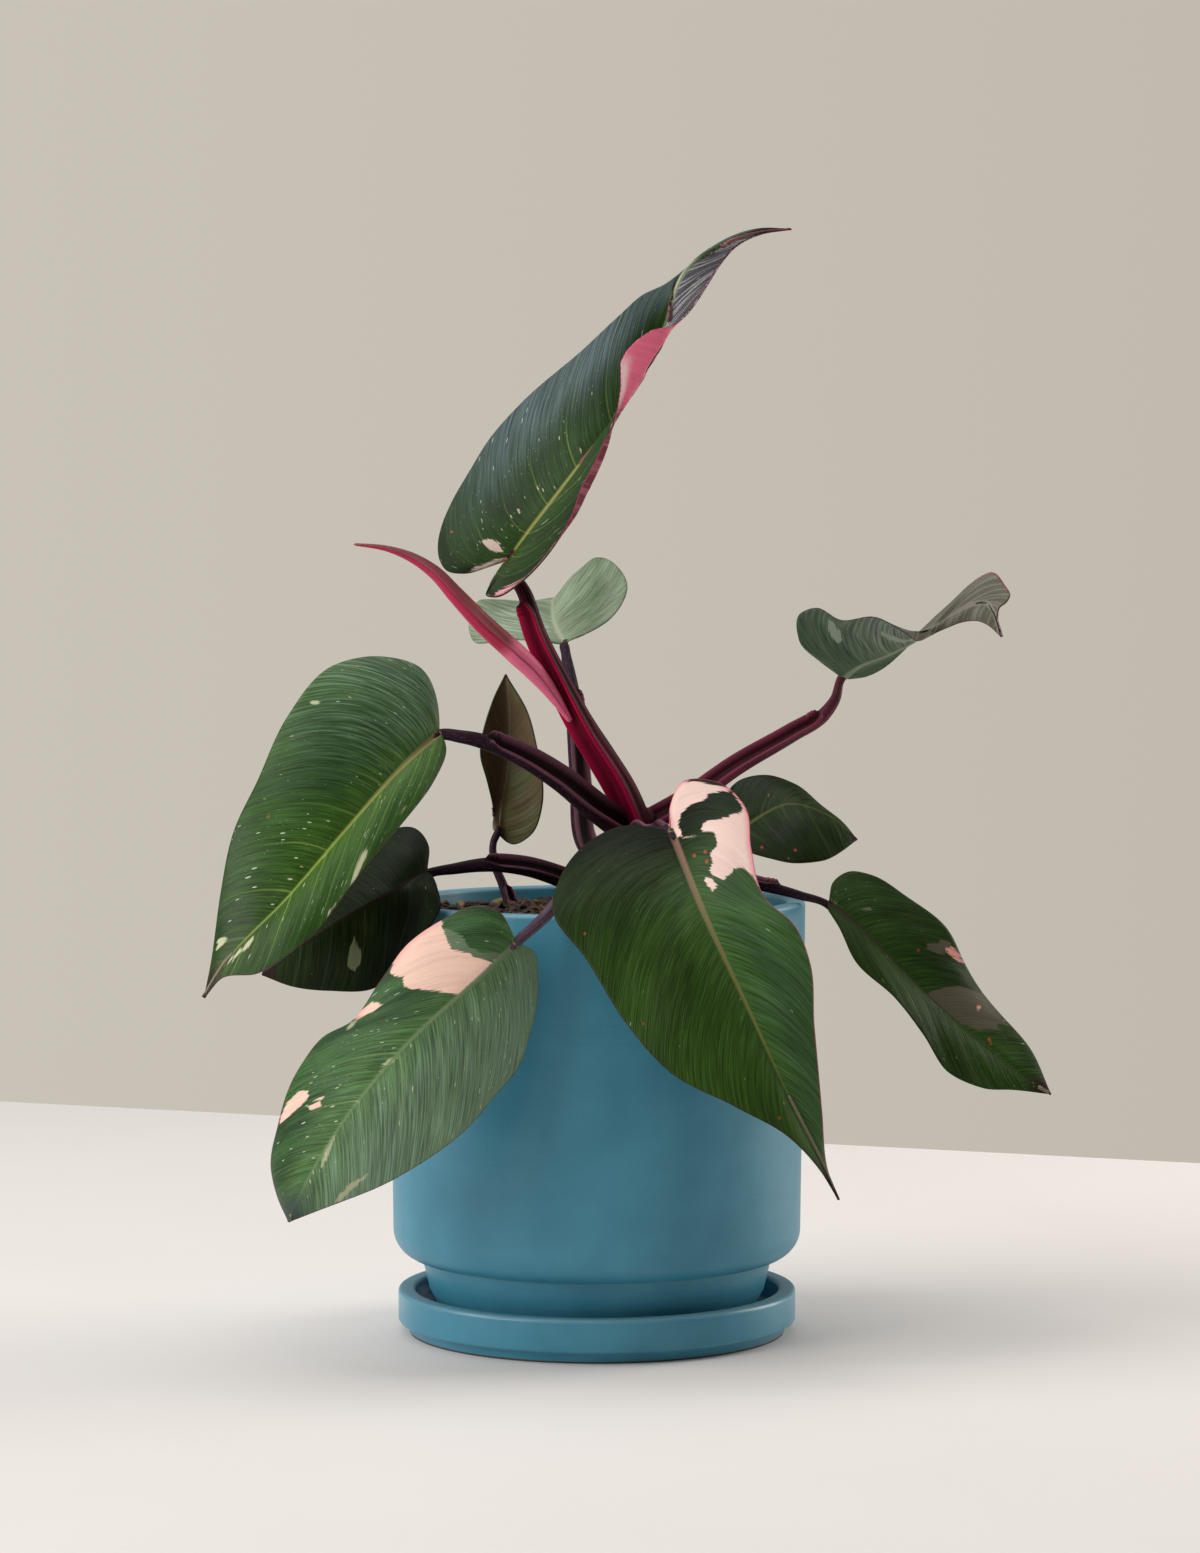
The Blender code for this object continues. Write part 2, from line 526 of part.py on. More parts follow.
def saucer(collection):
    outline = arc((SAUCER_RADIUS - RIM_ROUND, SAUCER_HEIGHT - RIM_ROUND), RIM_ROUND, 90, 0, 2)
    outline += [(SAUCER_RADIUS, SAUCER_SIDE_BOTTOM), (SAUCER_RADIUS - 0.8, SAUCER_SIDE_BOTTOM - 2.4),
                (SAUCER_BASE_RADIUS + 0.8, 0.4), (SAUCER_BASE_RADIUS, 0.0), (0.0, 0.0),
                (0.0, SAUCER_FLOOR)]
    outline += arc((SAUCER_INNER - SAUCER_CORNER, SAUCER_FLOOR + SAUCER_CORNER), SAUCER_CORNER, -90, 0, 2)
    outline += arc((SAUCER_INNER + RIM_ROUND, SAUCER_HEIGHT - RIM_ROUND), RIM_ROUND, 180, 90, 2)
    return turned("saucer", outline, "glaze_blue", collection)


def clump(x, y):
    """The lumpy surface of the mix: a height in mm from a few crossed ripples."""
    return MIX_CLUMP * (math.sin(0.42 * x + 1.1) * math.sin(0.37 * y + 0.4)
                        + 0.6 * math.sin(0.9 * x - 0.7 * y) * math.sin(0.8 * y + 0.3 * x + 2.0))


def potting_mix(collection):
    foot_bottom = SAUCER_FLOOR + GAP
    floor = foot_bottom + FOOT_RECESS + POT_WALL + GAP
    top = POT_TOP - MIX_BELOW_RIM
    at_top = POT_RIM_RADIUS - POT_WALL - MIX_CLEAR_OF_WALL
    outline = [(at_top * i / MIX_RINGS, top) for i in range(MIX_RINGS + 1)]
    outline += [(POT_INNER_LOW - GAP, POT_BODY_BOTTOM + POT_CORNER + INNER_SHELF + 1),
                (FOOT_TOP_RADIUS - FOOT_WALL - GAP, POT_BODY_BOTTOM + INNER_CORNER + 1),
                (POT_CAVITY_LOW - GAP, floor + INNER_SHELF),
                (POT_CAVITY_LOW - GAP - INNER_SHELF, floor), (0.0, floor)]
    thing = turned("potting_mix", outline, "bark_mix", collection)
    spun = bpy.context.evaluated_depsgraph_get()
    thing_mesh = bpy.data.meshes.new_from_object(thing.evaluated_get(spun))
    thing.modifiers.clear()
    thing.data = thing_mesh
    for vertex in thing_mesh.vertices:
        x, y, z = vertex.co / MM
        if z > top - 0.1:
            vertex.co.z += clump(x, y) * MM
    return thing


def build():
    clear_scene()
    plant = new_collection("pink_princess_philodendron")
    cutters = new_collection("cutters")
    pot(plant)
    saucer(plant)
    mix = potting_mix(plant)
    keep(stem(), "main_stem", plant, "stem_purple")
    stem_cutter = hide_cutter(keep(stem(GAP), "stem_cutter", cutters, "stem_purple"))
    subtract(mix, stem_cutter)

    finishes = {"leaf_rear_pale": "blade_pale", "leaf_left_dark": "blade_dark",
                "leaf_rear_small": "blade_dark"}
    for name, leaf in LEAVES.items():
        blade(name, leaf, finishes.get(name, "blade_green"), plant)

    keep(rolled_leaf(), "leaf_new_rolled", plant, "new_leaf_pink")
    roll_cutter = hide_cutter(keep(rolled_leaf(GAP), "roll_cutter", cutters, "new_leaf_pink"))

    earlier = []
    for name in PETIOLES:
        finish = "petiole_crimson" if name == "petiole_top" else "petiole_dark"
        piece = keep(petiole(name), name, plant, finish)
        cutter = hide_cutter(keep(petiole(name, GAP), name + "_cutter", cutters, finish))
        if name == "petiole_rear_small":
            subtract(mix, cutter)
            continue
        subtract(piece, stem_cutter)
        if name == "petiole_top":
            subtract(piece, roll_cutter)
        for other in earlier:
            subtract(piece, other)
        earlier.append(cutter)


build()
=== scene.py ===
"""The looks of a potted pink princess philodendron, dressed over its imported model.

Lengths in the tables are millimetres, in the model's own frame: the origin is the middle of the saucer's
underside, +Z is up and the plant faces -Y. Each piece stands for the node of the same part.
"""

import math

import bmesh
import bpy
import numpy as np
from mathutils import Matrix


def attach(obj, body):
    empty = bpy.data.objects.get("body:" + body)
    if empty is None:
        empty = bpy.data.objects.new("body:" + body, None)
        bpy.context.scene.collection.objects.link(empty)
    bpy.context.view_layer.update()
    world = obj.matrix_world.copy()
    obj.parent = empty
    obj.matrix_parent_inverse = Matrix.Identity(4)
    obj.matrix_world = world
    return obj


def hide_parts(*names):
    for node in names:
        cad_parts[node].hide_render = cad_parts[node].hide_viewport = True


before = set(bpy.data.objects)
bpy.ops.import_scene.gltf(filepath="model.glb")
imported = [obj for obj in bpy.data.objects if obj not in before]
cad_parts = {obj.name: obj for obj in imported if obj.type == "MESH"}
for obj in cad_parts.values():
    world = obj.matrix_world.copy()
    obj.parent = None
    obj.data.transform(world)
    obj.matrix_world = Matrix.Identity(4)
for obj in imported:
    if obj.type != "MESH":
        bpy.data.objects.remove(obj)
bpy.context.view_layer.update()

MM = 0.001

# Glazed pot and saucer
POT_TOP = 138.0
POT_RIM_RADIUS = 66.5
POT_LOW_RADIUS = 65.0
POT_WALL = 6.0
POT_CORNER = 9.0
POT_BODY_BOTTOM = 24.0
FOOT_TOP_RADIUS = 56.0
FOOT_MIDDLE = (53.6, 14.0)
FOOT_RADIUS = 49.0
FOOT_WALL = 7.0
FOOT_BOTTOM = 5.3
POT_CAVITY_LOW = 46.0
FOOT_RECESS = 2.0
DRAIN_RADIUS = 6.0
RIM_ROUND = 1.2
SAUCER_RADIUS = 63.6
SAUCER_INNER = 58.0
SAUCER_HEIGHT = 14.0
SAUCER_FLOOR = 5.0
SAUCER_BASE_RADIUS = 60.0
SAUCER_SIDE_BOTTOM = 3.4
# Half the height over which the pot's inner wall turns in, and how the bare foot's sharp edge is eased
POT_SHOULDER = 5.0
FOOT_EASE = 0.8
# The round where the saucer's floor meets its side, and the low step under its edge
SAUCER_HOLLOW = 3.0
SAUCER_STEP = 0.5
# Sides of every turned piece, how near in mm an edge or face is to the place that is meant, and the
# angle in degrees up to which two of its faces meet smoothly
ROUND_STEPS = 128
NEAR = 0.02
SMOOTH_UP_TO = 32

# Potting mix: its bed below the pot's rim, and the chips and tufts on it
MIX_BELOW_RIM = 5.0
MIX_DEPTH = 30.0
MIX_GAP = 0.6
MIX_CLUMP = 1.1
MIX_RINGS = 36
CHIP_COUNT = 1500
CHIP_LARGEST = 3.4
MOSS_SHARE = 0.2
MIX_SEED = 7

# Petioles: where the wings stand and how wide they are, as angles from the groove
WING_PLACE = 0.85
WING_SPREAD = 0.2
# Sides and rings of the round pieces, where a petiole has so many rings a mm
PETIOLE_SIDES = 48
PETIOLE_RINGS = 1.4
PETIOLE_LEAST_RINGS = 60
STEM_FINENESS = (48, 120)
ROLL_FINENESS = (72, 110)

# Blades: how far a flap arches, how veins sweep to the tip, and thicknesses in mm
FLAP_RISE = 1.5
VEIN_SWEEP = 0.24
VEIN_CURVE = 1.4
BLADE_EDGE = 0.45
BLADE_BODY = 0.6
RIB_DEPTH = 0.9
# Columns of a flap, and places along a rail to which gaps are measured
FLAP_COLUMNS = 16
RAIL_PLACES = 300
# The depth given to places that are in no patch and no fleck
OUTSIDE = -6.0

# The photograph's viewing angle: a little above the middle, looking slightly down
CAMERA_PLACE = (0.001, -1.3, 0.2365)
CAMERA_DIP = 0.0455
CAMERA_LENS = 94.58

# Each blade is lofted between three rails, as in the model: its left margin, its midrib (rib) and its
# right margin, seen from its upper face with the tip up.
LEAVES = {
    "leaf_top": dict(
        rib=[(-28, -14, 246), (-22, -17, 254.3), (-13, -20, 265.8), (-4, -21, 277.3), (5, -19, 289),
             (11, -16, 301), (16.7, -12, 311.5), (21.8, -9, 320.2), (24.4, -6, 330.7), (27.7, -4, 337.3),
             (34.9, -1, 342.5), (42.8, 3, 347.6), (52.1, 8, 351), (62, 12, 352)],
        left=[(-30, -13, 246), (-35.3, -11, 243.8), (-42.6, -9, 242), (-47.6, -7, 243),
              (-49.6, -5.5, 246), (-50.2, -3.5, 252), (-49.4, -2.5, 256), (-46.4, -2, 263.6),
              (-40.5, -1, 274), (-34, -1.5, 284.4), (-23.6, -3, 296), (-4.1, -7, 312.6), (7.6, -8, 323.5),
              (14.1, -7, 329.4), (21.9, -5, 333.4), (28.4, -3, 338.7), (34.9, 0, 344.1), (42.9, 4, 349),
              (52.1, 8, 351.9), (62, 12, 352)],
        right=[(-29, -14.5, 245), (-31.5, -18, 240.5), (-34.5, -20, 235), (-32, -21.5, 234.5),
               (-23.2, -23, 239.5), (-16.8, -24, 245.9), (-11, -25, 253.6), (-5.9, -25.5, 260.6),
               (-2.7, -26, 267), (1.1, -26, 274.6), (3.9, -25, 282.3), (5.2, -24, 288),
               (8.8, -22.5, 293.9), (12, -20, 299.1), (15.9, -17, 305.4), (20.5, -13, 312.9),
               (24.1, -10, 319.1), (29, -7, 324.2), (34.9, -3, 332.9), (39.5, 1, 340.3), (44.2, 4, 345.7),
               (52.1, 8, 350), (62, 12, 352)],
        fan=1.7, bulge=0.05, wave=(0.0, 0),
        flap=[(0, (0, -0.7, 0)), (0.231, (0, -0.7, 0)), (0.298, (-1.6, -0.6, 0.6)),
              (0.338, (-2.5, -0.6, 0.9)), (0.385, (-2.5, -0.6, 0.6)), (0.431, (-1.9, -0.6, 0)),
              (0.464, (0, -0.8, 0)), (0.504, (-2.4, -0.8, -0.3)), (0.541, (-4.6, -1.2, 0.6)),
              (0.585, (-8.5, -1.8, 2.5)), (0.612, (-9.1, -2, 2.2)), (0.639, (-8.2, -1.8, 1.9)),
              (0.661, (-5, -1.4, 2.2)), (0.682, (-0.4, -0.9, 0.4)), (0.707, (0, -0.7, 0)),
              (1, (0, -0.7, 0))],
    ),
    "leaf_left_upper": dict(
        rib=[(-49, -30, 192), (-58, -38, 184), (-76, -52, 164), (-94, -62, 143), (-112, -66, 124),
             (-119, -66, 113)],
        left=[(-48, -31, 191), (-47, -34, 188), (-50, -44, 178), (-61, -56, 164), (-75, -66, 146),
              (-89, -72, 130), (-102, -72, 121), (-114, -68, 119), (-119, -66, 113)],
        right=[(-50, -29, 193), (-50, -25, 201), (-55, -22, 212), (-67, -24, 216), (-82, -28, 213),
               (-96, -36, 197), (-105, -44, 177), (-111, -49, 163), (-115, -54, 144), (-118, -62, 119),
               (-119, -66, 113)],
        fan=1.7, bulge=0.09, wave=(0.8, 3),
    ),
    "leaf_front": dict(
        rib=[(23, -46, 162), (27, -60, 152), (32, -74, 140), (46, -88, 110), (58, -93, 84), (67, -92, 66),
             (72, -90, 55)],
        left=[(23, -45, 164), (23, -38, 170), (27, -34, 177), (37, -36, 177), (45, -44, 171),
              (47, -60, 158), (51, -72, 143), (60, -78, 135), (64, -82, 125), (65, -86, 107),
              (67, -90, 81), (69, -91, 63), (72, -90, 55)],
        right=[(21, -46, 162), (10, -46, 164), (-2, -54, 160), (-11, -66, 150), (-13, -76, 139),
               (-3, -84, 126), (9, -92, 108), (23, -98, 93), (41, -100, 84), (57, -98, 75), (66, -94, 65),
               (72, -90, 55)],
        fan=1.8, bulge=0.06, wave=(0.8, 3),
    ),
    "leaf_left_front": dict(
        rib=[(-24, -80, 131), (-34, -86, 122), (-56, -90, 102), (-72, -88, 83), (-87, -80, 59),
             (-93, -74, 46)],
        left=[(-23, -79, 130), (-19, -76, 128), (-18, -75, 121), (-20, -76, 104), (-23, -78, 94),
              (-31, -82, 85), (-41, -86, 74), (-60, -86, 61), (-77, -80, 53), (-93, -74, 46)],
        right=[(-26, -80, 132), (-29, -80, 140), (-36, -79, 142), (-46, -78, 138), (-56, -78, 131),
               (-64, -80, 120), (-73, -80, 108), (-83, -76, 102), (-89, -73, 93), (-96, -69, 76),
               (-99, -68, 62), (-97, -70, 54), (-93, -74, 46)],
        fan=1.7, bulge=0.08, wave=(0.9, 3),
    ),
    "leaf_left_dark": dict(
        rib=[(-53, -32, 149), (-66, -42, 142), (-79, -44, 135), (-93, -40, 126), (-104, -34, 117)],
        left=[(-51, -36, 148), (-49, -44, 144), (-48, -50, 139), (-53, -50, 131), (-61, -48, 124),
              (-67, -46, 115), (-83, -42, 113), (-95, -38, 114), (-104, -34, 117)],
        right=[(-53, -30, 150), (-53, -24, 157), (-58, -18, 162), (-67, -16, 161), (-81, -18, 152),
               (-93, -22, 139), (-102, -28, 127), (-104, -34, 117)],
        fan=1.6, bulge=0.05, wave=(0.6, 2),
    ),
    "leaf_right_low": dict(
        rib=[(73, -14, 138), (82, -18, 131), (102, -26, 111), (123, -30, 93), (135, -30, 83),
             (142, -29, 79)],
        left=[(74, -13, 139), (75, -9, 144), (80, -6, 147), (87, -6, 146), (98, -9, 140), (110, -12, 130),
              (116, -15, 119), (127, -20, 103), (137, -24, 91), (142, -29, 79)],
        right=[(73, -15, 136), (76, -20, 131), (81, -28, 121), (93, -34, 109), (102, -38, 99),
               (109, -39, 87), (120, -37, 82), (130, -33, 81), (142, -29, 79)],
        fan=1.5, bulge=0.05, wave=(0.8, 3),
    ),
    "leaf_right_rear": dict(
        rib=[(43, 22, 156), (50, 24, 161), (63, 26, 167), (74, 22, 164), (84, 16, 156)],
        left=[(42, 24, 158), (41, 34, 166), (47, 40, 174), (56, 42, 176), (65, 40, 173), (73, 34, 166),
              (80, 26, 161), (84, 16, 156)],
        right=[(43, 20, 155), (47, 14, 153), (55, 8, 151), (64, 4, 149), (72, 5, 150), (79, 10, 153),
               (84, 16, 156)],
        fan=1.5, bulge=0.06, wave=(0.5, 2),
    ),
    "leaf_rear_small": dict(
        rib=[(-33, 42, 157), (-32, 43, 166), (-30, 44, 177), (-29, 43, 196), (-30, 40, 209)],
        left=[(-32, 42, 156), (-28, 42, 153), (-22, 40, 156), (-18, 38, 166), (-18, 37, 177),
              (-20, 37, 186), (-23, 38, 197), (-30, 40, 209)],
        right=[(-34, 42, 160), (-34, 40, 166), (-36, 37, 174), (-38, 36, 183), (-37, 37, 191),
               (-34, 39, 201), (-30, 40, 209)],
        fan=1.5, bulge=0.04, wave=(0.3, 2),
    ),
    "leaf_rear_pale": dict(
        rib=[(-11, 50, 219), (-14, 62, 225), (-15, 78, 231), (-14, 96, 234), (-13, 114, 226)],
        left=[(-13, 51, 219), (-20, 50, 220), (-30, 52, 220), (-40, 58, 219), (-43, 68, 225),
              (-40, 80, 233), (-31, 92, 231), (-22, 104, 230), (-13, 114, 226)],
        right=[(-10, 51, 220), (-4, 50, 222), (3, 52, 226), (8, 58, 232), (10, 66, 239), (5, 76, 246),
               (-1, 86, 247), (-7, 96, 242), (-11, 106, 235), (-13, 114, 226)],
        fan=1.6, bulge=0.03, wave=(0.5, 2),
    ),
    "leaf_right_twisted": dict(
        rib=[(80, 24, 208), (84.5, 21.5, 211.5), (93, 20, 215), (103.2, 21, 220.2), (107.9, 22, 223.6),
             (112.5, 23, 227), (117.6, 22, 230.1), (121.9, 20, 232.1), (125.5, 17, 232.5),
             (127.4, 13, 230), (129.6, 10, 221.8)],
        left=[(79, 24, 209), (72, 20, 214), (65, 14, 221), (65, 10, 229), (70, 8, 231), (78, 7, 227),
              (89, 9, 228), (99, 12, 223), (103.5, 17, 220.5), (107.4, 20, 222), (112.3, 21, 224.1),
              (118.4, 21, 226.3), (122.5, 19, 226.7), (125.8, 15, 225.5), (129.6, 10, 221.8)],
        right=[(82, 25, 208), (88, 26, 209), (94, 28, 212), (100, 31, 217), (104.5, 30, 221.5),
               (109, 28, 227), (115.2, 26, 233), (121.1, 24, 238.5), (125.7, 21, 241.8),
               (127.6, 19, 242.5), (131.2, 15, 238.5), (132.7, 12, 234.8), (131.3, 11, 232.7),
               (129.3, 12, 231), (128.8, 11.5, 228.1), (129.6, 10, 221.8)],
        fan=1.5, bulge=0.03, wave=(0.3, 2),
    ),
}

# A petiole runs along a smooth curve through its places and ends in its own blade's midrib.
PETIOLES = {
    "petiole_top": dict(
        path=[(14, -4, 160), (8.5, -7, 173.5), (2, -10, 184.5), (-3.3, -13, 193), (-12.6, -15, 210.5),
              (-18.3, -15, 222.5), (-22.5, -14.5, 235)],
        radii=(4.6, 2.4, 1.6), sheath=0.86, wing=2.0, groove=1.6, towards=(-0.7, -0.7, 0.0)),
    "petiole_left_upper": dict(
        path=[(12, -3, 158), (0, -12, 167), (-12, -18, 177), (-23, -22, 184), (-34, -26, 189),
              (-42, -29, 191)],
        radii=(4.4, 2.4, 1.7), sheath=0.81, wing=2.0, groove=1.6, towards=(0.0, -0.75, 0.75)),
    "petiole_left_dark": dict(
        path=[(7, -2, 138), (-4, -10, 142), (-12, -16, 146), (-24, -24, 150), (-34, -28, 151),
              (-44, -31, 150)],
        radii=(3.4, 2.2, 1.4), sheath=0.74, wing=1.4, groove=1.2, towards=(0.0, -0.75, 0.75)),
    "petiole_left_front": dict(
        path=[(8, -8, 146), (4, -26, 149), (-2, -48, 148), (-10, -64, 144), (-16, -74, 138)],
        radii=(3.0, 2.0, 1.5), sheath=0.72, wing=1.2, groove=0.8, towards=(0.3, -0.5, 0.8)),
    "petiole_front": dict(
        path=[(14, -5, 157), (16, -18, 161), (20, -34, 160)],
        radii=(4.6, 3.2, 1.9), sheath=0.7, wing=1.6, groove=1.4, towards=(0.0, 0.0, 1.0)),
    "petiole_right_twisted": dict(
        path=[(16, -3, 162), (30, 0, 170), (45, 8, 180), (63, 16, 190), (73, 20, 196), (77, 22, 201)],
        radii=(3.2, 2.2, 1.3), sheath=0.83, wing=1.6, groove=1.3, towards=(-0.3, -0.8, 0.6)),
    "petiole_right_low": dict(
        path=[(10, -4, 144), (33, -16, 147.5), (51, -18, 144), (64, -16, 140.5)],
        radii=(3.2, 1.6, 1.1), sheath=0.76, wing=1.6, groove=1.0, towards=(0.0, -0.3, 1.0)),
    "petiole_right_rear": dict(
        path=[(12, 0, 151), (22, 8, 155), (34, 17, 156)],
        radii=(3.0, 2.2, 1.4), sheath=0.6, wing=1.2, groove=0.8, towards=(0.0, 0.0, 1.0)),
    "petiole_rear_pale": dict(
        path=[(9, 1, 146), (-3, 12, 154), (-6, 26, 176), (-8, 38, 201), (-10, 47, 214)],
        radii=(3.2, 2.6, 1.5), sheath=0.8, wing=1.4, groove=1.2, towards=(0.5, -1.0, 0.0)),
    "petiole_rear_small": dict(
        path=[(-26, 37, 122), (-28, 38, 132), (-31, 39, 140), (-34, 40, 148), (-34, 41, 154)],
        radii=(2.8, 1.5, 1.1), sheath=0.5, wing=1.0, groove=0.7, towards=(0.6, -0.6, 0.3)),
}

STEM_PATH = [(3, 2, 96), (4, 2, 116), (6, 1, 134), (10, -1, 150), (14, -3, 162), (15, -4, 168)]
STEM_RADII = (5.0, 5.8, 4.2)
ROLL_PATH = [(-76, -26, 251), (-65, -27, 249.5), (-58, -27, 247), (-51, -27, 242.5), (-43.8, -27, 234.9),
             (-35.5, -25.5, 226.1), (-25.9, -22.5, 217.2), (-20, -20, 211.5), (-14, -17.5, 204),
             (-8, -15, 195)]
ROLL_RADII = [(0.0, 0.4), (0.12, 1.0), (0.2, 1.6), (0.29, 2.2), (0.41, 2.8), (0.54, 3.3), (0.7, 3.5),
              (0.78, 3.2), (0.9, 2.0), (1.0, 0.8)]

